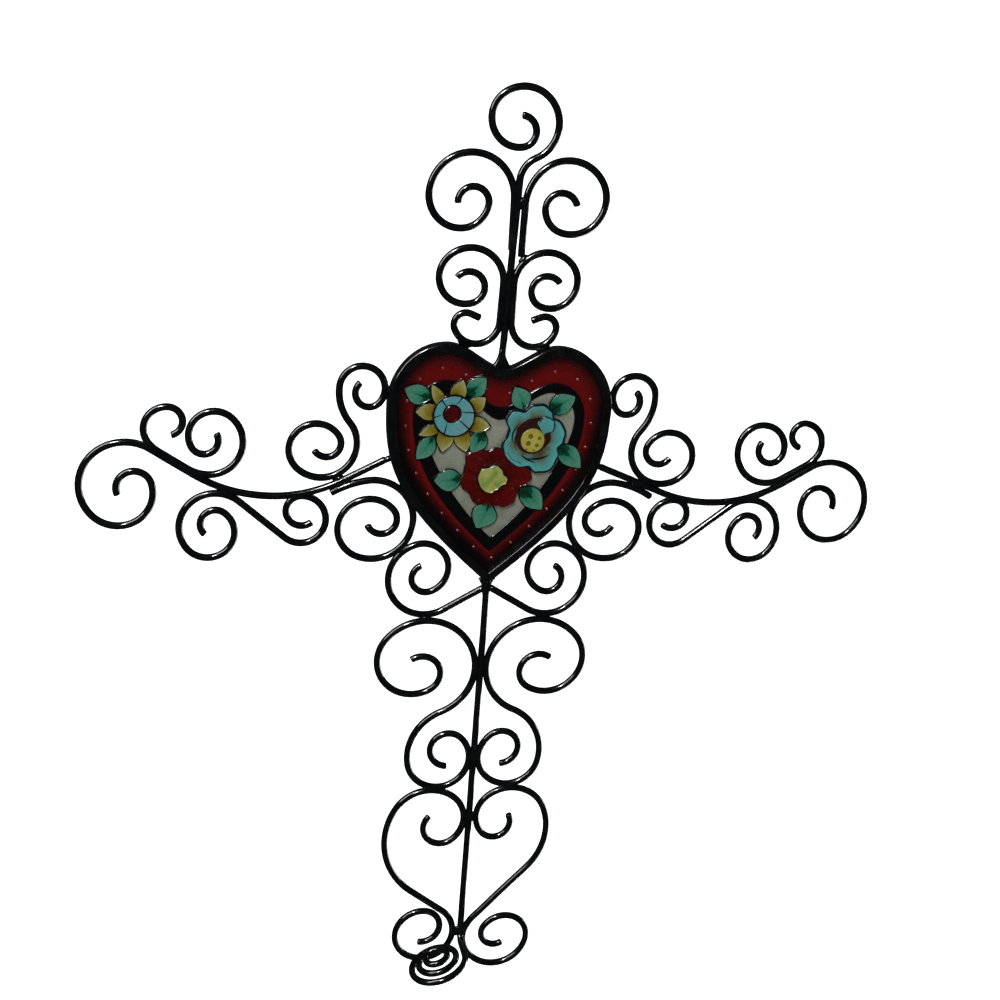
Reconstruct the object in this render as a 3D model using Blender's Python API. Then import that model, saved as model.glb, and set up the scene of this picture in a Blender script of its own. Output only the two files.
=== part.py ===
"""Wall cross of bent and welded steel rod, with an enamelled heart at its crossing.

Metres, +Z up, +X to the right seen from the front. The viewer stands on -Y and
the wall is on +Y. The rods lie in the plane Y = 0, and the origin is the point
of the top ring that rests on a wall hook. Heights on the cross are written from
the heart's middle and lowered to that origin by HOOK_HEIGHT.
"""
import math

import bpy
import numpy as np

# Rod and the clearance kept where rods meet their neighbours.
ROD_DIAMETER = 0.0032
ROD_RADIUS = ROD_DIAMETER / 2
CLEARANCE = 0.0003
ROD_TO_ROD = ROD_DIAMETER + CLEARANCE
ROD_TO_EDGE = ROD_RADIUS + CLEARANCE

# How finely a bend is cut into straight facets.
FACET_SAGITTA = 0.00060
FACET_TURN = 38.0
ROD_SIDES_LEVEL = 1

# Heart: half width, and heights of its widest place, lobes, cleft and tip.
HEART_SHIFT = -0.0005
HEART_HALF_WIDTH = 0.050
HEART_WIDE_HEIGHT = 0.043
HEART_LOBE_X = 0.0245
HEART_TOP_HEIGHT = 0.0708
HEART_CLEFT_HEIGHT = 0.0606
HEART_TIP_HEIGHT = -0.0385
HEART_BELLY = 0.84
HEART_POINTS = 14

# The inside of the top ring, above the heart's middle.
HOOK_HEIGHT = HEART_TOP_HEIGHT + 0.1064

# Heart tray: a flat back with a thick bevelled rim, flush with the rods behind.
TRAY_BACK = ROD_RADIUS
TRAY_FLOOR = 0.0010
RIM_WIDTH = 0.0040
RIM_HEIGHT = 0.0062
RIM_BEVEL = 0.0008

# Enamel plaque in the tray, from its edge to its middle.
PLAQUE_EDGE_HEIGHT = 0.0037
PLAQUE_SLOPE_WIDTH = 0.0050
PLAQUE_GROUND = 0.0018
BAND_RAISE = 0.0005
BAND_EDGE = 0.0002
BAND_BELLY = 0.74

# The border from the heart's edge in to the band, and the band from its outer line in.
BORDER_SIDE = 0.0115
BORDER_TOP = 0.0168
BORDER_TIP = 0.0147
BAND_SIDE = 0.0040
BAND_TOP = 0.0040
BAND_CLEFT = 0.0061
BAND_TIP = 0.0068
BAND_OUTER = {
    "half_width": HEART_HALF_WIDTH - BORDER_SIDE,
    "wide": HEART_WIDE_HEIGHT - 0.0040,
    "lobe_x": HEART_LOBE_X - 0.0005,
    "top": HEART_TOP_HEIGHT - BORDER_TOP,
    "cleft": HEART_CLEFT_HEIGHT - BORDER_TOP,
    "tip": HEART_TIP_HEIGHT + BORDER_TIP,
}
BAND_INNER = {
    "half_width": BAND_OUTER["half_width"] - BAND_SIDE,
    "wide": BAND_OUTER["wide"] - 0.0010,
    "lobe_x": BAND_OUTER["lobe_x"] - 0.0015,
    "top": BAND_OUTER["top"] - BAND_TOP,
    "cleft": BAND_OUTER["cleft"] - BAND_CLEFT,
    "tip": BAND_OUTER["tip"] + BAND_TIP,
}

# Flowers: middle, reach of the petals, their count and the size of each ring inside.
SUNFLOWER = {"middle": (-0.0222, 0.0402), "reach": 0.0172, "waist": 0.0098, "petals": 8, "sharpness": 1.0}
AQUA_FLOWER = {"middle": (0.0152, 0.0292), "reach": 0.0150, "waist": 0.0118, "petals": 5, "sharpness": 0.6}
RED_FLOWER = {"middle": (-0.0020, 0.0108), "reach": 0.0162, "waist": 0.0118, "petals": 6, "sharpness": 0.6}
PETAL_RAISE = 0.0014
PETAL_CROWN = 0.0005
SUNFLOWER_RING = 0.0088
SUNFLOWER_EYE = 0.0042
AQUA_EYE = 0.0056
RED_EYE = 0.0062
RING_RAISE = 0.0022
EYE_RAISE = 0.0027

# Leaves: root, direction in degrees, all of one length and width.
LEAF_LENGTH = 0.0105
LEAF_WIDTH = 0.0072
LEAF_RAISE = 0.0011
LEAVES = (
    ((-0.0325, 0.0450), 148),
    ((-0.0140, 0.0475), 62),
    ((-0.0295, 0.0285), 232),
    ((-0.0125, 0.0310), -62),
    ((0.0105, 0.0425), 118),
    ((0.0235, 0.0420), 38),
    ((0.0285, 0.0260), -48),
    ((-0.0165, 0.0130), 200),
    ((-0.0030, -0.0010), 264),
    ((0.0115, 0.0060), -42),
)

# Bends of each scroll, from its inner end: (radius, degrees) turns left where positive,
# and a lone number is a straight run. All are the right-hand pieces, seen from the front.
# The pieces above the heart start from its lobes' height or the hook's, and those
# at its sides from its half width, or lower down from the share of it that is left there.
TOP_SCROLL = {
    "start": (0.0262, HOOK_HEIGHT - 0.0460), "heading": 106,
    "bends": ((0.0070, 171), (0.0104, 68), (0.0148, 137), (0.0172, 98), (0.0204, 50), 0.0216),
}
TOP_SCROLL_LEFT = {
    "start": (0.0256, HOOK_HEIGHT - 0.0474), "heading": 87,
    "bends": ((0.0066, 195), (0.0118, 68), (0.0136, 106), (0.0182, 149), (0.0184, 26), 0.0218),
}
SECOND_SCROLL = {
    "start": (0.0230, HEART_TOP_HEIGHT + 0.0276), "heading": 126,
    "bends": ((0.0068, 214), (0.0116, 154), (0.0144, 137), 0.0165, (0.0102, 156), (0.0052, 135), 0.0045),
}
ARM = {
    "start": (HEART_HALF_WIDTH + 0.1132, -0.0020), "heading": 73,
    "bends": ((0.0078, 177), (0.0152, 153), (0.0196, 169), 0.0135, (0.0670, -53), 0.0325),
}
ARM_LEFT = {
    "start": (HEART_HALF_WIDTH + 0.1126, -0.0002), "heading": 64,
    "bends": ((0.0074, 187), (0.0146, 155), (0.0192, 165), 0.0205, (0.0655, -59), 0.0208),
}
INNER_S = {
    "start": (HEART_HALF_WIDTH + 0.0120, 0.0514), "heading": -41,
    "bends": ((0.0060, -195), (0.0098, -210), (0.0222, -44), (0.0152, 172), (0.0116, 195), (0.0062, 182)),
}
OUTER_C = {
    "start": (HEART_HALF_WIDTH + 0.0930, 0.0272), "heading": 167,
    "bends": (
        (0.0058, -175), (0.0100, -120), (0.0160, -20), 0.0128, (0.0160, -24),
        (0.0152, -112), (0.0112, -171), (0.0062, -212)),
}
OUTER_C_LEFT = {
    "start": (HEART_HALF_WIDTH + 0.0908, 0.0288), "heading": 166,
    "bends": (
        (0.0062, -164), (0.0098, -136), (0.0180, -15), 0.0140, (0.0180, -20),
        (0.0144, -150), (0.0108, -158), (0.0060, -186)),
}
UNDER_S = {
    "start": (HEART_HALF_WIDTH + 0.0762, -0.0185), "heading": 43,
    "bends": ((0.0064, 175), (0.0114, 194), (0.0154, 167), 0.0260, (0.0108, -218), (0.0068, -222)),
}
UNDER_SCROLL = {
    "start": (0.6 * HEART_HALF_WIDTH + 0.0432, 0.0020), "heading": 147,
    "bends": ((0.0420, 24), (0.0182, 206), (0.0138, 213), (0.0068, 196)),
}
TIP_SCROLL = {
    "start": (0.0308, -0.0312), "heading": -22,
    "bends": ((0.0066, -180), (0.0118, -178), (0.0172, -190), 0.0195),
}
BIG_S = {
    "start": (0.0328, -0.0768), "heading": 144,
    "bends": ((0.0088, 185), (0.0168, 159), (0.0236, 209), (0.0240, -80), (0.0146, -215), (0.0084, -221)),
}
FOOT_S = {
    "start": (0.0194, -0.1582), "heading": -57,
    "bends": (
        (0.0078, -173), (0.0138, -95), (0.0180, -100), (0.0300, -67), 0.0360,
        (0.0160, 207), (0.0118, 164), (0.0068, 157)),
}
FOOT_S_LEFT = {
    "start": (0.0190, -0.1578), "heading": -45,
    "bends": (
        (0.0086, -176), (0.0146, -100), (0.0184, -99), (0.0340, -84), 0.0200,
        (0.0144, 180), (0.0130, 145), (0.0086, 190)),
}

# Hand bending leaves these pieces of the left side a little different.
LEFT_PIECES = {
    "top_scroll": TOP_SCROLL_LEFT,
    "arm": ARM_LEFT,
    "outer_c": OUTER_C_LEFT,
    "foot_s": FOOT_S_LEFT,
}

# Hanger rod with the top ring, and the stem rod with the coil at its foot.
HANGER = {
    "start": (-0.0005, HOOK_HEIGHT - 0.0102), "heading": 0,
    "bends": ((0.0065, -170), (0.0120, -150), (0.0150, -195), (0.0110, 65)),
}
HANGER_LEAN = 0.0008
STEM_LEAN = 0.0003
STEM_FOOT_HEIGHT = -0.2250
FOOT_BEND_RADIUS = 0.0050
COIL_FORWARD = 0.0150
COIL_RADIUS = 0.0142
COIL_TURNS = 2.55
COIL_SHRINK = 0.0040
COIL_PITCH = 0.0020
COIL_TILT = 19.0
COIL_FACET_TURN = 30.0

# Finishes: colour, metallic value and roughness.
BLACK_LACQUER = ("black_lacquer", (0.010, 0.011, 0.012), 0.0, 0.22)
ENAMEL = ("enamel", (0.220, 0.006, 0.006), 0.0, 0.12)


def clear_scene():
    """Remove what the start-up file holds."""
    for thing in list(bpy.data.objects):
        bpy.data.objects.remove(thing, do_unlink=True)


def make_material(finish):
    """A Principled material from a finish."""
    name, colour, metallic, roughness = finish
    material = bpy.data.materials.new(name)
    material.use_nodes = True
    shader = material.node_tree.nodes["Principled BSDF"]
    shader.inputs["Base Color"].default_value = (*colour, 1.0)
    shader.inputs["Metallic"].default_value = metallic
    shader.inputs["Roughness"].default_value = roughness
    return material


def facet_count(radius, degrees):
    """Straight facets for one bend, by turn and by sagitta."""
    by_sagitta = math.degrees(2 * math.acos(max(0.0, 1 - FACET_SAGITTA / radius)))
    return max(1, math.ceil(abs(degrees) / min(FACET_TURN, by_sagitta) - 1e-6))


def bend_rod(piece):
    """Corner points (x, z) of a rod bent from its start through its bends and runs."""
    x, z = piece["start"]
    heading = math.radians(piece["heading"])
    points = [(x, z)]
    for bend in piece["bends"]:
        if not isinstance(bend, tuple):
            x += bend * math.cos(heading)
            z += bend * math.sin(heading)
            points.append((x, z))
            continue
        radius, degrees = bend
        count = facet_count(radius, degrees)
        turn = math.radians(degrees) / count
        chord = 2 * radius * math.sin(abs(turn) / 2)
        for _ in range(count):
            x += chord * math.cos(heading + turn / 2)
            z += chord * math.sin(heading + turn / 2)
            heading += turn
            points.append((x, z))
    return np.array(points)


def mirrored(points):
    """The same points on the other side of the stem."""
    return points * (-1, 1)


def distance(path, line):
    """Least distance between two chains of straight facets."""
    def corners_to_facets(corners, chain):
        start = chain[:-1]
        along = chain[1:] - start
        length = (along ** 2).sum(axis=1)
        away = corners[:, None, :] - start[None, :, :]
        share = np.clip((away * along).sum(axis=2) / length, 0, 1)
        gap = away - share[:, :, None] * along
        return np.sqrt((gap ** 2).sum(axis=2).min())
    return min(corners_to_facets(path, line), corners_to_facets(line, path))


def gaps(path, neighbours):
    """How much further than its reach a piece is from each neighbour."""
    return np.array([distance(path, line) - reach for line, reach in neighbours])


def lift_off(path, neighbours, share):
    """Move a piece away from its neighbours until it keeps this share of its reach to each."""
    carriers = np.mean([line.mean(axis=0) for line, _ in neighbours], axis=0)
    away = path.mean(axis=0) - carriers
    away *= CLEARANCE / np.hypot(*away)
    while min(distance(path, line) / reach for line, reach in neighbours) < share:
        path = path + away
    return path


def seat(path, neighbours):
    """Move a piece the shortest way that rests it against all its neighbours."""
    feel, longest_move, rounds = 2e-5, 0.0015, 16
    crossed, seated = 0.15, 0.97
    for _ in range(rounds):
        path = lift_off(path, neighbours, crossed)
        slopes = [
            (gaps(path + step, neighbours) - gaps(path - np.array(step), neighbours)) / (2 * feel)
            for step in ((feel, 0), (0, feel))
        ]
        move = -np.linalg.pinv(np.array(slopes).T, rcond=0.1) @ gaps(path, neighbours)
        path = path + move * min(1, longest_move / max(np.hypot(*move), feel))
    return lift_off(path, neighbours, seated)


def bezier(a, b, c, d, count):
    """Points of a cubic curve, without its last one."""
    a, b, c, d = (np.array(p) for p in (a, b, c, d))
    shares = np.linspace(0, 1, count, endpoint=False)[:, None]
    rest = 1 - shares
    return rest ** 3 * a + 3 * rest ** 2 * shares * b + 3 * rest * shares ** 2 * c + shares ** 3 * d


def heart_outline(half_width, wide, lobe_x, top, cleft, tip, belly, count=HEART_POINTS):
    """A heart from its cleft, clockwise seen from the front, as (x, z) points."""
    height = wide - tip
    round_share = 0.5523
    valley = bezier((0, cleft), (0.28 * lobe_x, cleft), (0.63 * lobe_x, top), (lobe_x, top), count // 2)
    shoulder = bezier(
        (lobe_x, top), (lobe_x + round_share * (half_width - lobe_x), top),
        (half_width, wide + round_share * (top - wide)), (half_width, wide), count // 2)
    side = bezier(
        (half_width, wide), (half_width, wide - 0.45 * belly * height),
        (belly * half_width, tip + 0.52 * belly * height), (0, tip), count // 2 + 2)
    right = np.vstack((valley, shoulder, side))
    left = mirrored(right[1:][::-1])
    return np.vstack((right, [(0, tip)], left)) + (HEART_SHIFT, 0)


def inset(outline, amount):
    """Move a clockwise outline inwards by its mitred corner directions."""
    before = outline - np.roll(outline, 1, axis=0)
    after = np.roll(outline, -1, axis=0) - outline
    before /= np.hypot(*before.T)[:, None]
    after /= np.hypot(*after.T)[:, None]
    normal_before = np.stack((before[:, 1], -before[:, 0]), axis=1)
    normal_after = np.stack((after[:, 1], -after[:, 0]), axis=1)
    mitre = normal_before + normal_after
    mitre /= (mitre * normal_after).sum(axis=1)[:, None]
    return outline + amount * mitre


def place(points, depth):
    """(x, z) points measured from the heart's middle as world points at a depth."""
    return [(x, depth, z - HOOK_HEIGHT) for x, z in points]


def object_from_mesh(name, vertices, faces, material):
    """A smooth-shaded mesh object with its sharp edges kept."""
    mesh = bpy.data.meshes.new(name)
    mesh.from_pydata(vertices, [], faces)
    mesh.update()
    mesh.materials.append(material)
    mesh.shade_smooth()
    mesh.set_sharp_from_angle(angle=math.radians(35))
    thing = bpy.data.objects.new(name, mesh)
    bpy.context.collection.objects.link(thing)
    return thing


def loft(rings):
    """Vertices and faces of a closed body through rings that run clockwise from the front."""
    count = len(rings[0])
    vertices = [point for ring in rings for point in ring]
    faces = [tuple(range(count))]
    for level in range(len(rings) - 1):
        low, high = level * count, (level + 1) * count
        for i in range(count):
            j = (i + 1) % count
            faces.append((low + i, high + i, high + j, low + j))
    last = (len(rings) - 1) * count
    faces.append(tuple(range(last + count - 1, last - 1, -1)))
    return vertices, faces


def add_rod(name, points, material):
    """A round rod along world points, with flat ends."""
    curve = bpy.data.curves.new(name, "CURVE")
    curve.dimensions = "3D"
    curve.bevel_depth = ROD_RADIUS
    curve.bevel_resolution = ROD_SIDES_LEVEL
    curve.use_fill_caps = True
    spline = curve.splines.new("POLY")
    spline.points.add(len(points) - 1)
    for point, place_at in zip(spline.points, points):
        point.co = (*place_at, 1.0)
    curve.materials.append(material)
    thing = bpy.data.objects.new(name, curve)
    bpy.context.collection.objects.link(thing)
    return thing


def stem_points(top):
    """The stem as world points: down, forward from its foot, then round into the coil."""
    foot = STEM_FOOT_HEIGHT - HOOK_HEIGHT
    points = [(0, 0, top - HOOK_HEIGHT)]
    aside = STEM_LEAN
    count = facet_count(FOOT_BEND_RADIUS, 90)
    for i in range(count + 1):
        angle = math.pi / 2 * i / count
        back_by = FOOT_BEND_RADIUS * (1 - math.cos(angle))
        points.append((aside, -back_by, foot + FOOT_BEND_RADIUS * (1 - math.sin(angle))))
    tilt = math.radians(COIL_TILT)
    count = math.ceil(360 * COIL_TURNS / COIL_FACET_TURN)
    for i in range(count + 1):
        turns = COIL_TURNS * i / count
        angle = -2 * math.pi * turns
        radius = COIL_RADIUS - COIL_SHRINK * turns
        across = radius * math.cos(angle) - COIL_RADIUS
        rise = COIL_PITCH * turns
        points.append((
            aside + across * math.cos(tilt) - rise * math.sin(tilt),
            radius * math.sin(angle) - COIL_FORWARD,
            foot + across * math.sin(tilt) + rise * math.cos(tilt),
        ))
    return points


def hanger_path(heart):
    """The top ring and the rod under it, which ends in the heart's cleft."""
    ring = bend_rod(HANGER)
    foot = (HEART_SHIFT - HANGER_LEAN, HEART_CLEFT_HEIGHT + ROD_TO_EDGE)
    path = np.vstack((ring, [foot]))
    return slide_end(path, heart)


def slide_end(path, heart):
    """Shift a rod's last corner away from the heart until it just clears it."""
    away = path[-2] - path[-1]
    away /= np.hypot(*away)
    while distance(path[-2:], heart) < ROD_TO_EDGE:
        path[-1] += away * CLEARANCE / 3
    return path


def scroll_paths(heart, hanger, stem, left):
    """Paths of one side's ten pieces, each set against what carries it."""
    rods = {"hanger": (hanger, ROD_TO_ROD), "stem": (stem, ROD_TO_ROD), "heart": (heart, ROD_TO_EDGE)}
    paths = {}

    def add(name, piece, *rests):
        path = bend_rod(LEFT_PIECES.get(name, piece) if left else piece)
        path = seat(path, [rods[rest] for rest in rests])
        if name == "tip_scroll":
            path = run_to_stem(path, stem)
        paths[name] = path
        rods[name] = (path, ROD_TO_ROD)

    add("second_scroll", SECOND_SCROLL, "hanger", "heart")
    add("top_scroll", TOP_SCROLL, "hanger")
    add("arm", ARM, "heart")
    add("inner_s", INNER_S, "arm")
    add("outer_c", OUTER_C, "arm")
    add("under_s", UNDER_S, "arm")
    add("under_scroll", UNDER_SCROLL, "arm", "heart")
    add("tip_scroll", TIP_SCROLL, "under_scroll", "heart")
    add("big_s", BIG_S, "stem", "tip_scroll")
    add("foot_s", FOOT_S, "stem", "big_s")
    return paths


def run_to_stem(path, stem):
    """Cut or stretch a last straight run so that it ends beside the stem."""
    along = path[-1] - path[-2]
    wanted = stem[0][0] + ROD_TO_ROD
    share = (wanted - path[-2][0]) / along[0]
    path[-1] = path[-2] + share * along
    return path


def build_rods(material):
    """All rods: hanger, stem with its coil, and ten pieces on each side."""
    heart = heart_line()
    hanger = hanger_path(heart)
    tip = (HEART_SHIFT, HEART_TIP_HEIGHT)
    stem = np.array([(0, tip[1] - ROD_TO_EDGE - ROD_RADIUS), (STEM_LEAN, STEM_FOOT_HEIGHT)])
    add_rod("hanger_rod", place(hanger, 0), material)
    add_rod("stem_rod", stem_points(stem[0][1]), material)
    for side in ("left", "right"):
        left = side == "left"
        near = [mirrored(line) if left else line for line in (heart, hanger, stem)]
        for name, path in scroll_paths(*near, left).items():
            add_rod(f"{name}_{side}", place(mirrored(path) if left else path, 0), material)


def heart_line():
    """The heart's outer edge as a closed line."""
    outline = heart_shape()
    return np.vstack((outline, outline[:1]))


def heart_shape():
    """The heart's outer edge."""
    return heart_outline(
        HEART_HALF_WIDTH, HEART_WIDE_HEIGHT, HEART_LOBE_X, HEART_TOP_HEIGHT,
        HEART_CLEFT_HEIGHT, HEART_TIP_HEIGHT, HEART_BELLY)


def build_tray(material):
    """The heart tray: flat back, bevelled rim and a recess for the plaque."""
    outline = heart_shape()
    front = TRAY_BACK - RIM_HEIGHT
    floor = TRAY_BACK - TRAY_FLOOR
    inner = inset(outline, RIM_WIDTH)
    rings = [
        place(outline, TRAY_BACK),
        place(outline, front + RIM_BEVEL),
        place(inset(outline, RIM_BEVEL), front),
        place(inset(outline, RIM_WIDTH - RIM_BEVEL), front),
        place(inner, front + RIM_BEVEL),
        place(inner, floor),
    ]
    object_from_mesh("heart_tray", *loft(rings), material)


def lobed(middle, reach, waist, petals, sharpness, start=90.0, per_petal=5):
    """A flower's outline: petals of one reach with waists between them."""
    points = []
    for i in range(petals * per_petal):
        angle = math.radians(start) - 2 * math.pi * i / (petals * per_petal)
        wave = abs(math.cos(petals * (angle - math.radians(start)) / 2)) ** sharpness
        radius = waist + (reach - waist) * wave
        points.append((middle[0] + radius * math.cos(angle), middle[1] + radius * math.sin(angle)))
    return np.array(points)


def leaf(root, degrees, count=4):
    """A leaf's outline: two arcs from its root to its point."""
    turn = math.radians(degrees)
    shares = [i / count for i in range(count + 1)]
    upper = [(s * LEAF_LENGTH, LEAF_WIDTH / 2 * math.sin(math.pi * s) ** 0.7) for s in shares]
    lower = [(x, -y) for x, y in upper[1:-1]][::-1]
    points = []
    for x, y in upper + lower:
        points.append((
            root[0] + x * math.cos(turn) - y * math.sin(turn),
            root[1] + x * math.sin(turn) + y * math.cos(turn),
        ))
    return np.array(points)


def pillow(outline, raised, crown, shrink=0.72):
    """Rings of a raised form with a domed face, sunk a little into the ground."""
    ground = TRAY_BACK - TRAY_FLOOR - CLEARANCE - PLAQUE_GROUND
    sunk = ground + PLAQUE_GROUND / 2
    middle = outline.mean(axis=0)
    return [
        place(outline, sunk),
        place(outline, ground - raised + crown),
        place(middle + (outline - middle) * shrink, ground - raised),
    ]


def merge(bodies):
    """Vertices and faces of several bodies as one list."""
    vertices, faces = [], []
    for body_vertices, body_faces in bodies:
        offset = len(vertices)
        vertices += body_vertices
        faces += [tuple(offset + i for i in face) for face in body_faces]
    return vertices, faces


def round_outline(middle, radius, count=14):
    """A circle's outline, clockwise seen from the front."""
    angles = -2 * np.pi * np.arange(count) / count
    return np.stack((middle[0] + radius * np.cos(angles), middle[1] + radius * np.sin(angles)), axis=1)


def build_plaque(material):
    """The enamel plaque: sloping border, raised band, and flowers and leaves raised on it."""
    back = TRAY_BACK - TRAY_FLOOR - CLEARANCE
    ground = back - PLAQUE_GROUND
    edge = inset(heart_shape(), RIM_WIDTH + CLEARANCE)
    outer = heart_outline(**BAND_OUTER, belly=BAND_BELLY)
    inner = heart_outline(**BAND_INNER, belly=BAND_BELLY)
    rings = [
        place(edge, back),
        place(edge, back - PLAQUE_EDGE_HEIGHT),
        place(inset(edge, PLAQUE_SLOPE_WIDTH), ground),
        place(outer, ground),
        place(inset(outer, BAND_EDGE), ground - BAND_RAISE),
        place(inset(inner, -BAND_EDGE), ground - BAND_RAISE),
        place(inner, ground),
    ]
    plaque = object_from_mesh("heart_plaque", *loft(rings), material)
    petals = [
        loft(pillow(lobed(**flower), PETAL_RAISE, PETAL_CROWN))
        for flower in (SUNFLOWER, AQUA_FLOWER, RED_FLOWER)
    ]
    leaves = [loft(pillow(leaf(*spot), LEAF_RAISE, PETAL_CROWN)) for spot in LEAVES]
    ring = [loft(pillow(round_outline(SUNFLOWER["middle"], SUNFLOWER_RING), RING_RAISE, PETAL_CROWN))]
    eyes = [
        loft(pillow(round_outline(flower["middle"], radius), EYE_RAISE, PETAL_CROWN))
        for flower, radius in ((SUNFLOWER, SUNFLOWER_EYE), (AQUA_FLOWER, AQUA_EYE), (RED_FLOWER, RED_EYE))
    ]
    for name, bodies in (("leaves", leaves), ("petals", petals), ("ring", ring), ("eyes", eyes)):
        raised = object_from_mesh(f"raised_{name}", *merge(bodies), material)
        raised.hide_render = True
        raised.display_type = "WIRE"
        union = plaque.modifiers.new(name, "BOOLEAN")
        union.operation = "UNION"
        union.object = raised
        union.use_self = True


def main():
    """Build the whole cross."""
    clear_scene()
    lacquer = make_material(BLACK_LACQUER)
    enamel = make_material(ENAMEL)
    build_tray(lacquer)
    build_plaque(enamel)
    build_rods(lacquer)


main()
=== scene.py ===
"""Looks of the wall cross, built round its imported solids.

Metres, +Z up, +X to the right seen from the front. The viewer stands on -Y and
the wall is on +Y. The rods lie in the plane Y = 0, and the origin is the point
of the top ring that rests on a wall hook. Heights on the cross are written from
the heart's middle and lowered to that origin by HOOK_HEIGHT. The rods' bends and
places are worked out as they are for the solids, only with smooth arcs.
"""
import math

import bmesh
import bpy
import numpy as np
from mathutils import Matrix, Vector, noise

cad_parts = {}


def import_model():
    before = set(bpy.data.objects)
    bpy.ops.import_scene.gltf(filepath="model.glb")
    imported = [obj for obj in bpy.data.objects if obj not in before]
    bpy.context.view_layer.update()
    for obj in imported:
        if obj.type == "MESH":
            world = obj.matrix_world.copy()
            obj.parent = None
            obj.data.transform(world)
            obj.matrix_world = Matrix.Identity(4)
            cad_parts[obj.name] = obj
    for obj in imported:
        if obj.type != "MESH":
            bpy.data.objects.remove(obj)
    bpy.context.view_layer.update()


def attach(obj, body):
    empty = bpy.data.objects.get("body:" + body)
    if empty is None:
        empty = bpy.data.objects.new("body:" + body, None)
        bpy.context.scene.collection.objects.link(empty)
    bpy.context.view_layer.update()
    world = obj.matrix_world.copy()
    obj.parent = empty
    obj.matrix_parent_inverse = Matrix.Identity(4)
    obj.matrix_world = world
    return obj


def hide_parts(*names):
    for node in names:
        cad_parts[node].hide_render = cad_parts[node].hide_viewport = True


# Rods, as in the solids.
ROD_DIAMETER = 0.0032
ROD_RADIUS = ROD_DIAMETER / 2
CLEARANCE = 0.0003
ROD_TO_ROD = ROD_DIAMETER + CLEARANCE
ROD_TO_EDGE = ROD_RADIUS + CLEARANCE
HOOK_HEIGHT = 0.1772
FACET_SAGITTA = 0.00060
FACET_TURN = 38.0

# Smooth rods: steps along a bend, rings and their sides, the unevenness of hand bending with
# its turns per metre, and how cut ends narrow: (distance from the end, share of the radius).
FINE_STEP = 0.0004
RING_STEP = 0.0011
ROD_SIDES = 18
ROD_WANDER = 0.00012
ROD_SWELL = 0.018
WANDER_SCALE = 45
SWELL_SCALE = 90
END_ROUNDING = ((0.0, 0.70), (0.00008, 0.84), (0.00025, 0.95), (0.00055, 1.0))

# Welds: how far apart two rods, or a rod and the heart, still get one, and its ripple.
ROD_WELD_GAP = 0.0009
HEART_WELD_GAP = 0.0008
WELD_SPACING = 0.004
WELD_RIPPLE = 0.16

# Heart, as in the solids.
HEART_SHIFT = -0.0005
HEART_HALF_WIDTH = 0.050
HEART_WIDE_HEIGHT = 0.043
HEART_LOBE_X = 0.0245
HEART_TOP_HEIGHT = 0.0708
HEART_CLEFT_HEIGHT = 0.0606
HEART_TIP_HEIGHT = -0.0385
HEART_BELLY = 0.84
HEART_COARSE_POINTS = 14
HEART_FINE_POINTS = 72
TRAY_BACK = ROD_RADIUS
TRAY_FLOOR = 0.0010
RIM_WIDTH = 0.0040
RIM_FRONT = TRAY_BACK - 0.0062
PLAQUE_BACK = TRAY_BACK - TRAY_FLOOR - CLEARANCE
GROUND_FACE = PLAQUE_BACK - 0.0018
BORDER_EDGE_FACE = PLAQUE_BACK - 0.0039
BORDER_SLOPE = 0.0066
BAND_OUTER = {
    "half_width": 0.0385, "wide": 0.0390, "lobe_x": 0.0240, "top": 0.0545,
    "cleft": 0.0430, "tip": -0.0238, "belly": 0.71, "count": HEART_FINE_POINTS,
}
BAND_INNER = {
    "half_width": 0.0338, "wide": 0.0380, "lobe_x": 0.0225, "top": 0.0500,
    "cleft": 0.0372, "tip": -0.0170, "belly": 0.55, "count": HEART_FINE_POINTS,
}
BAND_RAISE = 0.0007

# Enamel: how fast a filling sinks inside its edge, how deep a painted piece stands in
# the face under it, and the border's tone at the foot of its slope.
MENISCUS = 0.00055
ROOTED = 0.0003
BORDER_FOOT_TONE = 0.72

# Each rod from its inner end, as in the solids: start, heading in degrees, and bends.
# A bend is (radius, degrees), to the left where positive, and a lone number a straight run.
TOP_SCROLL = (
    (0.0262, 0.1312), 106,
    ((0.0070, 171), (0.0104, 68), (0.0148, 137), (0.0172, 98), (0.0204, 50), 0.0216),
)
TOP_SCROLL_LEFT = (
    (0.0256, 0.1298), 87,
    ((0.0066, 195), (0.0118, 68), (0.0136, 106), (0.0182, 149), (0.0184, 26), 0.0218),
)
SECOND_SCROLL = (
    (0.0230, 0.0984), 126,
    ((0.0068, 214), (0.0116, 154), (0.0144, 137), 0.0165, (0.0102, 156), (0.0052, 135), 0.0045),
)
ARM = (
    (0.1632, -0.0020), 73,
    ((0.0078, 177), (0.0152, 153), (0.0196, 169), 0.0135, (0.0670, -53), 0.0325),
)
ARM_LEFT = (
    (0.1626, -0.0002), 64,
    ((0.0074, 187), (0.0146, 155), (0.0192, 165), 0.0205, (0.0655, -59), 0.0208),
)
INNER_S = (
    (0.0620, 0.0514), -41,
    ((0.0060, -195), (0.0098, -210), (0.0222, -44), (0.0152, 172), (0.0116, 195), (0.0062, 182)),
)
OUTER_C = (
    (0.1430, 0.0272), 167,
    (
        (0.0058, -175), (0.0100, -120), (0.0160, -20), 0.0128, (0.0160, -24),
        (0.0152, -112), (0.0112, -171), (0.0062, -212)),
)
OUTER_C_LEFT = (
    (0.1408, 0.0288), 166,
    (
        (0.0062, -164), (0.0098, -136), (0.0180, -15), 0.0140, (0.0180, -20),
        (0.0144, -150), (0.0108, -158), (0.0060, -186)),
)
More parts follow.
